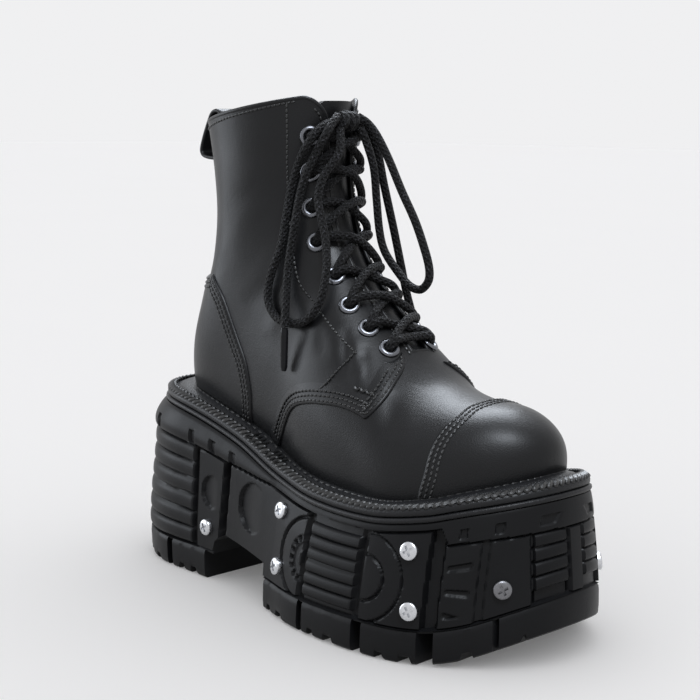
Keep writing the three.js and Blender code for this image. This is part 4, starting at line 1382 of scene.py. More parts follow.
    def quarter(self, side: Side) -> bpy.types.Object:
        """Front edge of the quarter over the vamp, fading into the skin behind it."""
        seam = self.last.seam(self.quarter_points(side), 1.5, side)
        skin, normal = self.last.skin(*seam.T), self.last.normal(*seam.T)
        back = -unit(np.cross(normal, unit(np.gradient(skin, axis=0)))) * side.value
        steps = np.array([0, 0.3, 0.7, 1.2, 2, 3.5, 6, 9, 13, 18])
        maker = Maker(f"quarter_edge_{side.name.lower()}")
        reach = 18 * ease(np.minimum(np.arange(len(seam)), np.arange(len(seam))[::-1]) / 9 + 0.12)
        fan = steps[None] * (reach / 18)[:, None]
        targets = skin[:, None] + back[:, None] * fan[..., None]
        found = self.last.locate(targets.reshape(-1, 3)).reshape(*targets.shape[:2], 2)
        fade = 1 - ease((steps[None] - 3) / 11)
        self.sheet(maker, found[..., 0], found[..., 1], self.lip(fan, 1.15) * fade - 0.35 * (1 - fade))
        return maker.build(self.finishes.leather, SEAM_SHARP)

    def offset_row(
        self, seam: np.ndarray, away: float, lift: float, pitch: float
    ) -> tuple[np.ndarray, np.ndarray]:
        """Stitch places beside a seam.

        Args:
            seam: places and turns.
            away: distance to one side of it.
            lift: height above the skin.
            pitch: stitch length with its gap.

        Returns:
            Points and normals.
        """
        skin, normal = self.last.skin(*seam.T), self.last.normal(*seam.T)
        beside = skin + unit(np.cross(normal, unit(np.gradient(skin, axis=0)))) * away
        found = self.last.locate(resample(beside, pitch))
        normal = self.last.normal(*found.T)
        skin = self.last.skin(*found.T)
        return skin + normal * (lift - self.last.dip(skin))[:, None], normal

    def stitches(self, repeater: Repeater) -> bpy.types.Object:
        """Every stitch of the upper."""
        rows, pitch, single = Row(), 2.8, 2.6
        for side in Side:
            sign = side.value
            heel = self.last.seam(self.heel_seam[:-1], 2, side)
            heel = np.vstack([self.heel_top(heel), heel])
            quarter = self.last.seam(self.quarter_points(side)[1:], 2, side)
            tack, facing = self.offset_row(self.last.seam(self.tack_seam, 1, side), 0, 0.8, 1.5)
            ahead = unit(np.gradient(tack, axis=0))
            turn = np.where(np.arange(len(tack)) % 2, 1.0, -1.0)[:, None]
            rows.add(tack, facing, unit(ahead + turn * np.cross(facing, ahead)))
            toe = self.last.seam(self.toe_seam[1:], 2, side)
            for away, dropped in ((1.9, 2), (4.3, 5), (6.7, 9)):
                rows.add(*self.offset_row(heel, away * sign, 1.25, pitch))
                rows.add(*self.offset_row(quarter[:-dropped], -away * sign, 1.2, pitch))
                rows.add(*self.offset_row(toe, away * sign, 1.25, pitch))
            facing = self.last.seam(self.facing_seam, 2, side)
            rows.add(*self.offset_row(facing, 0, 0.1, single))
            rows.add(*self.offset_row(self.last.seam(self.drop_seam, 2, side), 0, 0.4, single))
            rows.add(*self.offset_row(self.throat_edge(side)[:-6], -3.0 * sign, 0.1, single))
        turns = np.linspace(0.75, 2 * math.pi - 0.85, 140)
        collar = np.column_stack([np.full(140, self.last.collar - 0.14), turns])
        rows.add(*self.offset_row(collar, 0, 0.1, single))
        return rows.make(repeater, "upper_stitches", bead_shape("stitch"), (2.3, 1.15, 1.0),
                         self.finishes.thread)

    def build(self, repeater: Repeater) -> None:
        """Builds and dresses the upper."""
        settle(self.shell(), "upper_leather", "upper")
        settle(self.tongue(), "upper_leather", "tongue")
        settle(self.bead(), "upper_leather")
        settle(self.heel_counter(), "upper_leather")
        settle(self.toe_cap(), "upper_leather")
        for side in Side:
            settle(self.quarter(side), "upper_leather")
        settle(self.stitches(repeater), "lace_cord")


# ---- welt, midsole and platform ---------------------------------------------------------------------------
@dataclass
class Welt:
    """Leather rand round the boot, its braid and stitches, the midsole lip and the insole."""

    last: Last
    outline: Outline
    finishes: Finishes
    inset: float = 0.8
    profile: Sequence = (
        (22, 3.3), (0.5, 3.3), (0, 3.9), (0, 5.6), (0.5, 6.6), (1.6, 7.3), (3.2, 7.4), (4.6, 6.9), (5.3, 6.8),
        (6.2, 7.4), (8, 8.2), (11, 8.7), (22, 9.2),
    )
    lip_profile: Sequence = ((0.7, 0.3), (0.1, 0.7), (-0.2, 1.5), (0.0, 2.5), (0.7, 2.95))

    def sweep(self, name: str, profile: Sequence, inset: float, count: int) -> bpy.types.Object:
        """Closed band round the outline.

        Args:
            name: piece name.
            profile: (distance inwards, height above the platform) points.
            inset: distance of the band's edge inside the outline.
            count: places round the outline.

        Returns:
            The band.
        """
        point, out = self.outline.at(self.outline.around(count))
        top = self.outline.top(point[:, 0])
        rings = []
        for inwards, height in profile:
            flat = point - out * (inset + inwards)
            rings.append(np.column_stack([flat, top + height]))
        maker = Maker(name)
        grid = np.array(rings).transpose(1, 0, 2)
        maker.rings(grid, closed=True)
        return maker.build(self.finishes.welt, 50)

    def contact(self, u: np.ndarray, height: float) -> np.ndarray:
        """Distance from the outline in to the upper, at a height above the platform."""
        places, turns = np.meshgrid(np.linspace(0.03, 12.5, 900), np.linspace(-math.pi, math.pi, 500))
        skin = self.last.skin(places, turns)
        level = skin[..., 2] - self.outline.top(skin[..., 0]) - height
        rows, cols = np.where(np.diff(np.sign(level), axis=1) != 0)
        contour = skin[rows, cols, :2]
        point, _ = self.outline.at(u)
        gaps = np.array([np.linalg.norm(contour - p, axis=1).min() for p in point])
        for _ in range(6):
            gaps = (np.roll(gaps, 1) + 2 * gaps + np.roll(gaps, -1)) / 4
        return gaps

    def on_top(
        self, u: np.ndarray, inwards: np.ndarray, height: float
    ) -> tuple[np.ndarray, np.ndarray, np.ndarray]:
        """Points above the platform's top, with outward and tangent directions."""
        point, out = self.outline.at(u)
        flat = point - out * (self.inset + inwards)[:, None]
        z = self.outline.top(point[:, 0]) + height
        outwards = np.column_stack([out, np.zeros(len(u))])
        points = np.column_stack([flat, z])
        return points, outwards, unit(np.roll(points, -1, 0) - np.roll(points, 1, 0))

    def build(self, repeater: Repeater) -> None:
        """Builds and dresses the welt and what lies by it."""
        welt = self.sweep("welt_rand", self.profile, self.inset, 360)
        combine(welt, [self.last.form(-0.4, self.finishes.welt)], Operation.CUT, 50)
        settle(welt, "welt_leather", "welt")
        lip = self.sweep("midsole_lip", [(30, 0.3), *self.lip_profile, (30, 2.95)], 0.0, 360)
        settle(lip, "welt_leather", "midsole")
        up = np.array([0.0, 0.0, 1.0])
        length = self.outline.length
        u = np.arange(0, length, length / round(length / 3.9))
        points, out, along = self.on_top(u, np.full(len(u), 2.5), 7.5)
        braid = repeater.make("welt_braid", bead_shape("braid_strand"), points, unit(out * 0.35 + up),
                              unit(along * 0.75 - out * 0.65), (6.6, 3.3, 2.7), self.finishes.thread)
        settle(braid, "welt_leather")
        u = np.arange(0, length, length / round(length / 5.0))
        gaps = self.contact(u, 9.0)
        points, out, along = self.on_top(u, gaps - 2.8, 8.5)
        row = repeater.make("welt_stitches", bead_shape("welt_stitch"), points, unit(out + up), along,
                            (3.6, 1.2, 1.0), self.finishes.thread)
        settle(row, "welt_leather")
        u = self.outline.find(np.array([114, 117, 120, 123, 132, 135, 138, 141], float), 75.0)
        u = np.concatenate([u, length - u])
        points, out, along = self.on_top(u, np.full(len(u), 4.0), 8.4)
        ties = repeater.make("welt_ties", bead_shape("tie"), points, np.tile(up, (len(u), 1)),
                             unit(out - 0.12 * up), (9.5, 1.3, 1.4), self.finishes.thread)
        settle(ties, "welt_leather")
        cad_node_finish("insole", self.finishes.lining)


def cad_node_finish(node: str, material: bpy.types.Material) -> None:
    """Gives a CAD node that stays shown its finish."""
    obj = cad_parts[node]
    for slot in obj.material_slots:
        slot.material = material


@dataclass
class Platform:
    """Rubber platform: ribbed and panelled side, arch and lugs."""

    outline: Outline
    finishes: Finishes
    around: int = 900
    levels: int = 86
    lug: float = 15.0
    recess: float = -2.4
    channels: Sequence = (
        (74, 4.0, 3.2), (100, 5.6, 5.0), (177.5, 4.2, 3.4), (216, 4.2, 3.4), (253, 6.0, 4.6),
        (270.8, 3.0, 1.5),
    )
    arch_channel: float = 100
    arch: Sequence = ((83, -5), (84.5, 2), (92, 23), (99, 28.5), (141, 24), (141.5, -5))
    blocks: Sequence = (
        (None, 18, (8, 14)), (22, 48.5, (28, 33, 38, 42)), (53.5, 82.5, (60, 64, 70, 75)),
        (141.8, 177, (147, 151, 158, 164)), (181, 215, (186, 190, 197, 203)),
        (221, 248.5, (227, 231, 238, 243)), (255.5, 275.5, (262, 265.5)), (277.5, None, (280, 280.9)),
    )
    block_profile: Sequence = (
        (0, -1.4), (0.03, -0.6), (0.09, -0.1), (0.3, 0), (0.8, 0), (0.93, -0.2), (1, -1.0),
    )

    @staticmethod
    def step(value: np.ndarray, soft: float = 0.7) -> np.ndarray:
        """Step from 0 to 1 over a soft width centred on 0."""
        return ease(value / soft + 0.5)

    def span(self, value: np.ndarray, low: float, high: float, soft: float = 0.7) -> np.ndarray:
        """1 between two values, 0 outside, with soft edges."""
        return self.step(value - low, soft) * self.step(high - value, soft)

    def ribs(self, z: np.ndarray, low: np.ndarray, high: np.ndarray, count: int) -> np.ndarray:
        """Bulging horizontal ribs between two heights, 0 in their grooves to 1."""
        share = np.clip((z - low) / (high - low), 0, 0.9999) * count
        across = np.abs(2 * (share - np.floor(share)) - 1)
        return np.power(np.maximum(1 - across**6, 0), 0.7) * (0.8 + 0.2 * (1 - across**2))

    def relief(
        self, x: np.ndarray, z: np.ndarray, low: np.ndarray, top: np.ndarray, toe: np.ndarray
    ) -> np.ndarray:
        """How far the side stands out from its plain surface.

        Args:
            x: stations.
            z: heights.
            low: height of the tread line there.
            top: height of the platform's top there.
            toe: distance round the outline from the toe's centre.

        Returns:
            The distance, in millimetres.
        """
        depth = top - z
        band = np.interp(x, [0, 55, 100, 140, 253, 257, 300], [14.5, 14.5, 11, 3.2, 3.2, 11.0, 12.5])
        inner_top, inner_low = top - band - 1.2, low + 1.9
        body = self.step(depth - band - 0.9) * self.step(z - low - 1.6)
        level = np.full(x.shape, 0.0)
        heel_ribs = self.recess * (1 - self.ribs(z, inner_low, inner_top, 6)) + 0.3
        level = np.where(x < 72, heel_ribs, level)
        circle = np.hypot(x - 88, z - 48.5)
        level -= 1.7 * self.step(8.7 - circle) * self.step(x - 77, 0.1) * ease((94 - x) / 12)
        circle = np.hypot(x - 126, z - 48)
        level -= 1.9 * self.step(12.8 - circle) * ease((136 - x) / 20)
        radius = np.hypot(x - 177, z - 35)
        inside = self.step(177 - x, 0.1) * self.step(x - 150, 0.1)
        level -= inside * (1.6 * self.span(radius, 18.9, 20.3, 0.6) + 0.5 * self.step(18.9 - radius))
        teeth = 0.6 + 0.4 * np.sign(np.sin(np.arctan2(z - 35, x - 177) * 16))
        arc = 1.5 * self.span(radius, 8.6, 11.4, 0.6) * teeth
        level -= inside * (arc + 0.8 * self.span(radius, 4, 8, 0.8))
        fore_ribs = (self.recess + 0.4) * (1 - self.ribs(z, inner_low + 2, top - 7, 6))
        level = np.where((x > 179.7) & (x < 214), fore_ribs, level)
        radius = np.hypot(x - 219, z - 36)
        inside = self.step(x - 218, 0.1) * self.step(251 - x, 0.1)
        level -= inside * (1.3 * self.span(radius, 19.7, 20.9, 0.5) + 0.35 * self.step(19.7 - radius))
        level -= inside * (1.1 * self.span(radius, 9.9, 11.2, 0.5) - 0.3 * self.step(9.9 - radius))
        spokes = np.cos(np.arctan2(z - 36, x - 219) * 24 + 0.6)
        inside = self.span(x, 258, 267, 1.2) * self.span(z - low, 6, 33, 1)
        level -= inside * 1.4 * self.step(spokes - 0.75, 0.5)
        toe_ribs = self.recess * (1 - self.ribs(z, low + 7, top - 12.5, 4)) + 0.2
        level = np.where((toe < 24) & (toe > 5), toe_ribs, level)
        level -= 1.8 * self.span(toe, 23.2, 24.8, 0.6) + 1.8 * self.span(toe, 4.2, 5.8, 0.6)
        for at, width, deep in self.channels:
            slant = 0.08 * (z - 45) if at == self.arch_channel else 0.0
            cut = self.span(x - slant, at - width / 2, at + width / 2, 1.3)
            level = level * (1 - cut) - deep * cut
        bulge = np.sqrt(np.maximum(1 - ((2 * depth / band) - 1) ** 2, 0))
        rim = np.interp(x, [60, 140, 145, 300], [2.0, 0.9, 0.3, 0.5]) * bulge
        ring = self.span(depth, 0.0, 0.1, 0.1)
        edge = np.where(depth < band, rim - 0.1 * ring, -1.9)
        level = edge * (1 - body) + level * body
        tread = 1 - self.step(z - low - 1.6)
        line = self.span(z - low, -0.2, 0.9, 0.5) + self.span(z - low, 1.3, 1.9, 0.5)
        level = level * (1 - tread) - 1.3 * line
        for at in (36, 70, 88, 106):
            mark = self.span(x, at - 2.2, at + 2.2, 0.8) * self.span(depth, band * 0.45, band * 0.95, 0.8)
            level -= 1.5 * mark
        for at in (262, 274, 286):
            level -= 1.2 * self.span(x, at - 1.2, at + 1.6, 0.6) * self.span(depth, 5, 9.5, 0.6)
        return level

    def side(self) -> bpy.types.Object:
        """Body of the platform above the lugs."""
        line = self.outline
        u = line.around(self.around)[None]
        station = line.at(u[0])[0][:, 0]
        low, top = line.bottom(station) + self.lug, line.top(station)
        v = np.linspace(0, 1, self.levels)[:, None]
        z = low + (top - low) * v
        u = np.broadcast_to(u, z.shape)
        plain = line.place(u, z)
        toe = np.abs(u - line.half_length)
        low, top = np.broadcast_to(low, z.shape), np.broadcast_to(top, z.shape)
        proud = self.relief(plain[..., 0], z, low, top, toe)
        maker = Maker("platform_rubber")
        outline_loft(maker, line.place(u, z, proud))
        body = maker.build(self.finishes.rubber, 34)
        return combine(body, [prism(self.arch, -ACROSS, ACROSS, self.finishes.rubber)], Operation.CUT, 34)

    def lugs(self) -> bpy.types.Object:
        """Tread blocks under the platform."""
        line = self.outline
        maker = Maker("tread_lugs")
        for start, end, cuts in self.blocks:
            first = 0.0 if start is None else float(line.find(start, 8.0))
            last = line.half_length if end is None else float(line.find(end, 8.0))
            lateral = np.linspace(first, last, max(int((last - first) / 0.9), 12))
            u = np.concatenate([lateral, line.length - lateral[::-1]])
            station = line.at(u)[0][:, 0]
            ground, high = line.bottom(station), line.bottom(station) + self.lug + 0.8
            notch = np.zeros(len(u))
            for a, b in zip(cuts[::2], cuts[1::2]):
                notch = np.maximum(notch, self.span(station, a, b, 1.0))
            foot = ground + 0.02 + 3.4 * notch
            rings = []
            for share, proud in self.block_profile:
                z = foot + (high - foot) * share
                rings.append(line.place(u, z, np.full(len(u), proud)))
            outline_loft(maker, np.array(rings))
        return maker.build(self.finishes.rubber, 34)

    def build(self) -> None:
        """Builds and dresses the platform."""
        settle(self.side(), "sole_rubber", "platform_sole")
        settle(self.lugs(), "sole_rubber")


# ---- hardware ------------------------------------------------------------------------------------------
@dataclass
class Hardware:
    """Eyelets, screws, zip and pull loop."""

    last: Last
    outline: Outline
    finishes: Finishes
    eyelets: Sequence = (
        (189, 134.8), (177, 143.9), (164.4, 154.2), (151.5, 167.6), (137.5, 183.7), (131.7, 200.8),
        (129.5, 218.8), (129.3, 236.9),
    )
    screws: Sequence = (
        ("heel", 84.8, 29), ("waist_upper", 152.5, 53), ("waist_lower", 155, 26), ("ball_upper", 240.8, 51.8),
        ("ball_lower", 244.5, 25), ("toe", 277.6, 37.4),
    )
    zip_top: tuple[float, float] = (84, 243)
    zip_bottom: tuple[float, float] = (119, 104)
    zip_width: float = 15.0
    loop: Sequence = (
        (55.8, 236.5), (55.8, 243.3), (53.5, 248.4), (49, 249.3), (45.2, 246), (37.8, 229.5), (39.5, 225),
        (49.6, 223.6),
    )
    loop_from: float = -12.0
    loop_thick: float = 2.2

    def eyelet_rings(self, repeater: Repeater) -> None:
        """Rolled metal rings of the eyelets."""
        profile = [(2.5, -1.2), (3.1, -1.2), (3.2, 0.1), (5.1, 0.1), (5.3, 0.5), (5.0, 1.1), (4.2, 1.5),
                   (3.3, 1.4), (2.7, 1.0), (2.5, 0.4)]
        points, facing, along, nodes = [], [], [], []
        for side in Side:
            found = self.last.locate(self.eyelets, side)
            points.append(self.last.out(found[:, 0], found[:, 1], np.full(len(found), 0.15)))
            facing.append(self.last.normal(found[:, 0], found[:, 1]))
            nodes += [f"eyelet_{side.name.lower()}_{k}" for k in range(1, 9)]
        along = np.tile([0.0, 0.0, 1.0], (len(nodes), 1))
        ring = lathe_shape("eyelet", profile, 28, ring=True)
        rings = repeater.make("eyelet_rings", ring, np.vstack(points), np.vstack(facing), along, (1, 1, 1),
                              self.finishes.gunmetal)
        settle(rings, "eyelet_metal", *nodes)

    def screw_shape(self) -> bpy.types.Object:
        """Domed cross-head screw."""
        profile = [(4.3, -1.6), (4.35, 0.5), (4.2, 0.95), (3.7, 1.25), (2.6, 1.5), (1.3, 1.62)]
        shape = lathe_shape("screw", profile, 32)
        bpy.context.scene.collection.objects.link(shape)
        for turn in (0.0, math.pi / 2):
            mesh = bpy.data.meshes.new("recess")
            fix = bmesh.new()
            bmesh.ops.create_cube(fix, size=1, matrix=Matrix.Rotation(turn + 0.5, 4, "Z")
                                  @ Matrix.Translation((0, 0, 1.3 * MM)) @ Matrix.Diagonal(
                                      (5.0 * MM, 1.25 * MM, 2.2 * MM, 1)))
            fix.to_mesh(mesh)
            fix.free()
            tool = bpy.data.objects.new("recess", mesh)
            bpy.context.scene.collection.objects.link(tool)
            combine(shape, [tool], Operation.CUT, 35)
        bpy.context.scene.collection.objects.unlink(shape)
        return shape

    def screw_heads(self, repeater: Repeater) -> None:
        """Bright screws, and the grey one at the lateral toe."""
        kinds: dict[str, list] = {"nickel": [], "steel": []}
        for side in Side:
            for name, station, z in self.screws:
                u = self.outline.find(station, z, side)
                here = self.outline.place(u, z)
                along = self.outline.place(u + 0.5, z) - self.outline.place(u - 0.5, z)
                up = self.outline.place(u, z + 2.0) - self.outline.place(u, z - 2.0)
                facing = unit(np.cross(along, up))
                if facing[1] * side.value < 0:
                    facing = -facing
                kind = "steel" if side is Side.LATERAL and name == "toe" else "nickel"
                node = f"screw_{side.name.lower()}_{name}"
                kinds[kind].append((here + facing * 0.7, facing, unit(up), node))
        for kind, rows in kinds.items():
            points, facing, along = (np.array([row[k] for row in rows]) for k in range(3))
            screws = repeater.make(f"screws_{kind}", self.screw_shape(), points, facing, along, (1, 1, 1),
                                   getattr(self.finishes, kind))
            settle(screws, "nickel" if kind == "nickel" else "grey_steel", *[row[3] for row in rows])

    def zip_line(self, step: float) -> np.ndarray:
        """Places and turns along the zip."""
        ends = np.array([self.zip_top, self.zip_bottom], float)
        return self.last.locate(resample(ends, step), Side.MEDIAL)

    def zip(self, repeater: Repeater) -> None:
        """Zip tape, its teeth and its stitches."""
        found = self.zip_line(3)
        skin, normal = self.last.skin(*found.T), self.last.normal(*found.T)
        across = unit(np.cross(normal, unit(np.gradient(skin, axis=0))))
        widths = np.array([-1, -0.985, -0.95, -0.5, -0.25, -0.2, 0, 0.2, 0.25, 0.5, 0.95, 0.985, 1])
        widths = widths * self.zip_width / 2
        heights = np.array([0, 0.7, 1.0, 1.0, 1.0, 0.5, 0.5, 0.5, 1.0, 1.0, 1.0, 0.7, 0])
        flat = skin[:, None] + across[:, None] * widths[None, :, None]
        found_flat = self.last.locate(flat.reshape(-1, 3)).reshape(*flat.shape[:2], 2)
        grid, lift = self.last.skin(found_flat[..., 0], found_flat[..., 1]), heights[None] + 0.2
        out = self.last.normal(found_flat[..., 0], found_flat[..., 1])
        maker = Maker("zip_tape_strip")
        maker.slab(grid + out * lift[..., None], grid - out * 0.3)
        settle(maker.build(self.finishes.tape, 60), "zip_tape", "zip")
        found = self.zip_line(1.5)
        skin, normal = self.last.skin(*found.T), self.last.normal(*found.T)
        along = unit(np.gradient(skin, axis=0))
        across = unit(np.cross(normal, along))
        sign = np.where(np.arange(len(skin)) % 2 == 0, 1.0, -1.0)[:, None]
        places = skin + normal * 1.1 + across * sign * 0.8
        teeth = repeater.make("zip_teeth", bead_shape("tooth"), places, normal, across, (3.4, 1.1, 1.2),
                              self.finishes.zip_metal)
        settle(teeth, "zip_metal")
        rows = Row()
        found = self.zip_line(2.8)
        skin, normal = self.last.skin(*found.T), self.last.normal(*found.T)
        across = unit(np.cross(normal, unit(np.gradient(skin, axis=0))))
        for away in (-6.2, -4.4, 4.4, 6.2):
            rows.add(skin + across * away + normal * 1.3, normal)
        settle(rows.make(repeater, "zip_stitches", bead_shape("zip_stitch"), (2.0, 0.7, 0.6),
                         self.finishes.thread), "zip_tape")
        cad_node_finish("zip_slider", self.finishes.zip_metal)
        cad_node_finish("zip_pull", self.finishes.nickel)

    def pull_loop(self) -> None:
        """Webbing loop at the back of the collar."""
        path = smooth_path(self.loop, 0.9)
        along = unit(np.gradient(path, axis=0))
        out = np.stack([-along[:, 1], along[:, 0]], 1)
        y = np.array([0, 0.35, 1.2, 3, 8, 13, 18, 23, 24.8, 25.65, 26]) + self.loop_from
        half = self.loop_thick / 2 * np.array([0.3, 0.75, 1, 1, 1, 1, 1, 1, 1, 0.75, 0.3])
        sheets = []
        for sign in (1, -1):
            flat = path[:, None] + out[:, None] * (sign * half)[None, :, None]
            ys = np.broadcast_to(y, flat.shape[:2])
            sheets.append(np.stack([flat[..., 0], ys, flat[..., 1]], -1))
        maker = Maker("heel_loop")
        maker.slab(*sheets)
        settle(maker.build(self.finishes.leather, 60), "upper_leather", "pull_loop")

    def build(self, repeater: Repeater) -> None:
        """Builds and dresses the hardware."""
        self.eyelet_rings(repeater)
        self.screw_heads(repeater)
        self.zip(repeater)
        self.pull_loop()


# ---- lace ----------------------------------------------------------------------------------------------
@dataclass
class Lace:
    """Round lace: crossings through the eyelets, knot, two loops and two ends."""

    last: Last
    finishes: Finishes
    eyelets: Sequence
    radius: float = 2.15
    loop_lateral: Sequence = (
        (138, -8.2, 243), (139.2, -13.5, 242.6), (138.4, -19.5, 239), (134.6, -23.6, 231),
        (128.2, -23.2, 221.1),
        (124.6, -24.1, 209.3), (123, -25.9, 195.5), (122.4, -28.8, 181.2), (119.2, -31.8, 168.4),
        (117.6, -33.1, 159.2), (119.5, -34.5, 152.3), (126.1, -35.3, 145.6), (134.8, -35.7, 143.6),
        (142.3, -35.3, 144), (150.1, -34.9, 147.6), (154.4, -31.6, 156.2), (154.8, -28.6, 166.2),
        (153.2, -25.8, 176), (149, -23, 186.9), (144.9, -22.1, 196.9), (141.8, -21.4, 206.8),
        (143.6, -18.8, 217.8), (148, -13, 228.9), (144.2, -8.4, 241),
    )
    end_lateral: Sequence = (
        (141.6, -8, 247.2), (143.6, -12.5, 244.6), (144, -18, 238.4), (138.4, -20.1, 228.1),
        (134.2, -22.7, 217.5), (131.4, -24.2, 206.8), (130.6, -26.4, 194.7), (129.4, -28, 182),
        (129.5, -30.2, 171), (131.3, -33, 160.7),
        (135, -36.9, 152.2), (137.2, -39.3, 144.7), (137.5, -39.7, 142.1),
    )
    loop_medial: Sequence = (
        (142.2, 6, 247), (145, 10.5, 243.6), (149.6, 12.5, 237.6), (156.7, 14, 225.8), (165.2, 15, 210),
        (173.7, 16, 195.5), (179.9, 16, 183.2), (184, 16, 172.5), (184.3, 15.5, 165.6), (179.6, 15, 160.8),
        (172, 15, 162), (163.7, 15, 168.3), (154.1, 15, 178.2), (150.1, 15, 188.5), (148.6, 14, 204.8),
        (148.2, 12, 221), (146, 8.8, 233.7), (144, 6.2, 241.2),
    )
    end_medial: Sequence = (
        (138.6, 6.2, 242.6), (139.8, 13, 242.2), (142, 19.5, 233), (144.9, 23.5, 211.4), (148.2, 27.5, 189.4),
        (151, 30.5, 170.7), (153, 32.5, 157.6), (154.8, 34.5, 147.5), (157.5, 36, 137.5), (160, 39, 130),
    )
    aglets: Sequence = (
        ("lateral", (137.6, -39.9, 141.7), (137.8, -40.4, 119.8)),
        ("medial", (160.2, 39.3, 129.4), (163.5, 42.8, 108)),
    )

    def crossings(self) -> bpy.types.Object:
        """Lace through the eyelets, in two chains and a bar."""
        frames = {side: self.last.locate(self.eyelets, side) for side in Side}
        maker = Maker("lace_through_eyelets")

        def run(start: np.ndarray, end: np.ndarray, lift: float) -> None:
            """Adds one length of lace from an eyelet to the one that it goes into."""
            share = np.array([0, 0.0, 0.06, 0.16, 0.32, 0.5, 0.68, 0.84, 0.94, 1.0, 1.0])
            rise = [-2.5, 0.6, 3.3, 4.2, 2.4 + lift * 0.6]
            height = np.array([*rise, 1.6 + lift, *rise[::-1]])
            place, turn = (start[k] + (end[k] - start[k]) * share for k in (0, 1))
            path = self.last.out(place, turn, height)
            maker.tube(smooth_path(path, 1.1), self.radius, 12)

        last_pair = len(self.eyelets) - 1
        for k in range(last_pair):
            under, over = (Side.LATERAL, Side.MEDIAL) if k % 2 else (Side.MEDIAL, Side.LATERAL)
            run(frames[under][k], frames[over][k + 1], 0.0)
            run(frames[over][k], frames[under][k + 1], 4.0)
        run(frames[Side.LATERAL][0], frames[Side.MEDIAL][0], 0.6)
        for side, knot_y in ((Side.LATERAL, -5.0), (Side.MEDIAL, 3.5)):
            top = frames[side][last_pair]
            points = self.last.out(top[0], top[1], np.array([-2.5, 0.6, 3.2, 4.4]))
            points = np.vstack([points, (136.5, (points[-1][1] + knot_y) / 2, 243), (140.5, knot_y, 244.3)])
            maker.tube(smooth_path(points, 1.1), self.radius, 12)
        return maker.build(self.finishes.cord, 60)

    def knot(self) -> bpy.types.Object:
        """Knot: one strand wound round the others."""
        maker = Maker("bow_knot")
        t = np.linspace(0, 1, 60)
        centre = np.array([141.0, -1.0, 244.6])
        for shift, tilt, grow in ((-3.4, 0.35, 0.0), (0.2, -0.2, 0.5), (3.6, 0.3, 0.0)):
            angle = t * 2 * math.pi
            ring = np.stack([(3.2 + grow) * np.cos(angle), shift + tilt * 3 * np.sin(angle),
                             (3.0 + grow) * np.sin(angle)], 1)
            maker.tube((centre + ring)[:-1], self.radius, 12, closed=True)
        core = np.array([(140.6, -8.6, 245), (141, -4, 244.8), (141, 2, 244.6), (141.4, 6.6, 244.8)])
        maker.tube(smooth_path(core, 1.0), 2.6, 12)
        return maker.build(self.finishes.cord, 60)

    def strand(self, name: str, points: Sequence, node: str) -> None:
        """One free length of the bow.

        Args:
            name: piece name.
            points: its route.
            node: CAD node that it stands for.
        """
        path = smooth_path(points, 1.2)
        maker = Maker(name)
        maker.tube(path, self.radius, 12)
        obj = maker.build(self.finishes.cord, 60)
        settle(obj, "lace_cord", node)

    def build(self) -> None:
        """Builds and dresses the lace."""
        settle(self.crossings(), "lace_cord", "lace_crossings")
        knot = settle(self.knot(), "lace_cord", "lace_knot")
        for side, start, end in self.aglets:
            maker = Maker(f"aglet_tip_{side}")
            path = resample(np.array([start, end]), 2.0)
            radius = np.interp(np.linspace(0, 1, len(path)), [0, 0.06, 0.9, 1], [1.7, 2.0, 1.85, 1.2])
            maker.tube(path, radius, 14)
            settle(maker.build(self.finishes.aglet, 50), "aglet_plastic", f"aglet_{side}")
        self.strand("bow_loop_lateral", self.loop_lateral, "lace_loop_lateral")
        self.strand("bow_end_lateral", self.end_lateral,
                    "lace_end_lateral")
        self.strand("bow_loop_medial", self.loop_medial, "lace_loop_medial")
        self.strand("bow_end_medial", self.end_medial,
                    "lace_end_medial")


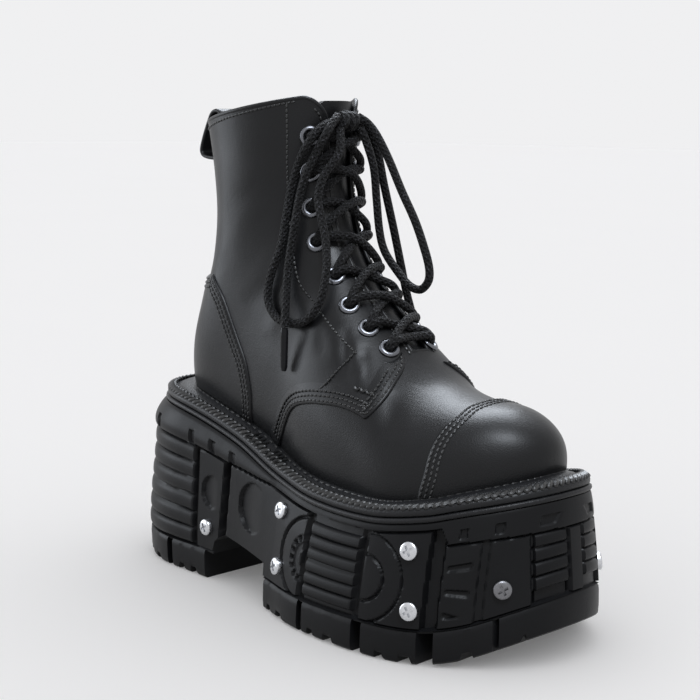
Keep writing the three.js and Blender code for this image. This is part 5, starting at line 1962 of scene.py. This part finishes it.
# ---- floor, light and camera ---------------------------------------------------------------------------
@dataclass
class Studio:
    """Pale floor, soft light and the camera."""

    camera_at: tuple[float, float, float] = (0.6181, -0.5369, 0.2453)
    roll: float = 0.656687
    lens: float = 76.0
    linked: bpy.types.Collection | None = None

    def camera(self) -> None:
        """Camera at the viewing angle of the object."""
        data = bpy.data.cameras.new("camera")
        data.lens = self.lens
        data.clip_end = 100
        obj = bpy.data.objects.new("camera", data)
        r = math.radians(self.roll)
        middle = sum((Vector(corner) for corner in CAD_BOUNDS), Vector()) / 2
        back = (Vector(self.camera_at) - middle).normalized()
        right = (-back).cross(Vector((0, 0, 1))).normalized()
        up = right.cross(-back)
        turned = right * math.cos(r) + up * math.sin(r), up * math.cos(r) - right * math.sin(r)
        turn = Matrix((turned[0], turned[1], back)).transposed().to_4x4()
        obj.matrix_world = Matrix.Translation(self.camera_at) @ turn
        bpy.context.scene.collection.objects.link(obj)
        bpy.context.scene.camera = obj

    def light(self, name: str, at: Sequence[float], size: float, power: float) -> None:
        """Square soft light that looks at the boot."""
        data = bpy.data.lights.new(name, "AREA")
        data.size, data.energy = size, power
        data.color = (0.86, 0.92, 1.0)
        obj = bpy.data.objects.new(name, data)
        obj.light_linking.receiver_collection = self.linked
        obj.location = at
        obj.rotation_euler = (Vector((0.08, 0, 0.12)) - Vector(at)).to_track_quat("-Z", "Y").to_euler()
        bpy.context.scene.collection.objects.link(obj)

    def build(self) -> None:
        """Builds the floor, lights and camera."""
        mesh = bpy.data.meshes.new("floor")
        mesh.from_pydata([(-12, -12, 0), (12, -12, 0), (12, 12, 0), (-12, 12, 0)], [], [(0, 1, 2, 3)])
        paint = Paint("floor_paper", 0.8, specular=0.2)
        paint.colour(paint.noise(3, 1), (0.875, 0.875, 0.88), (0.885, 0.885, 0.89))
        paint.set(paint.shader, Emission_Color=(1, 1, 1, 1), Emission_Strength=0.1)
        mesh.materials.append(paint.material)
        floor = show("floor", mesh)
        unlit = bpy.data.collections.new("floor_only")
        unlit.objects.link(floor)
        unlit.collection_objects[0].light_linking.link_state = "EXCLUDE"
        self.linked = unlit
        world = bpy.data.worlds.new("studio")
        world.use_nodes = True
        world.node_tree.nodes["Background"].inputs["Color"].default_value = (0.87, 0.87, 0.88, 1)
        world.node_tree.nodes["Background"].inputs["Strength"].default_value = 1.0
        bpy.context.scene.world = world
        bpy.context.scene.view_settings.view_transform = "Standard"
        self.light("side", (-1.35, -0.8, 0.5), 1.1, 14)
        self.light("top", (-0.5, 0.65, 1.35), 0.9, 34)
        self.light("toe", (0.7, -0.35, 1.25), 0.45, 18)
        self.camera()


CREASES = (
    Crease(((150, -33, 150), (158, -37, 141), (163, -40, 130)), 0.6, 3.8),
    Crease(((163, -31, 146), (169, -36, 136), (171, -40, 126)), -0.6, 4.2),
    Crease(((172, -32, 138), (178, -37, 129), (180, -41, 119)), 0.8, 3.0),
    Crease(((183, -30, 132), (187, -36, 123), (188, -40, 115)), -0.7, 3.0),
    Crease(((118, -28, 215), (100, -34, 206), (82, -34, 201)), 0.5, 7.0),
    Crease(((124, -28, 172), (112, -34, 158), (98, -35, 150)), 0.6, 6.0),
    Crease(((132, -32, 160), (124, -36, 146), (116, -37, 134)), -0.6, 5.5),
    Crease(((175, -26, 140), (179, -31, 133), (183, -36, 124)), -0.45, 2.3),
    Crease(((180, -25, 137), (185, -30, 130), (190, -34, 121)), 0.45, 2.3),
    Crease(((192, -23, 130), (196, -29, 122), (197, -35, 114)), -0.5, 2.6),
    Crease(((168, -27, 145), (173, -32, 137), (177, -36, 129)), 0.4, 2.3),
    Crease(((202, -30, 118), (208, -36, 108), (212, -42, 96)), 0.7, 5.0),
    Crease(((208, -18, 121), (214, -28, 114), (220, -38, 102)), -0.6, 5.5),
    Crease(((165, 31, 146), (171, 36, 136), (173, 40, 126)), -0.8, 3.6),
    Crease(((152, 33, 150), (160, 37, 141), (165, 40, 130)), 0.8, 3.2),
    Crease(((203, 28, 118), (209, 34, 108), (213, 40, 96)), 0.7, 5.0),
)


def main() -> None:
    logging.basicConfig(level=logging.INFO, format="%(message)s")
    finishes = Finishes()
    repeater = Repeater()
    last, outline = Last(creases=CREASES), Outline()
    Studio().build()
    hardware = Hardware(last, outline, finishes)
    Lace(last, finishes, hardware.eyelets).build()
    Upper(last, outline, finishes).build(repeater)
    Welt(last, outline, finishes).build(repeater)
    Platform(outline, finishes).build()
    hardware.build(repeater)


if __name__ == "__main__":
    main()
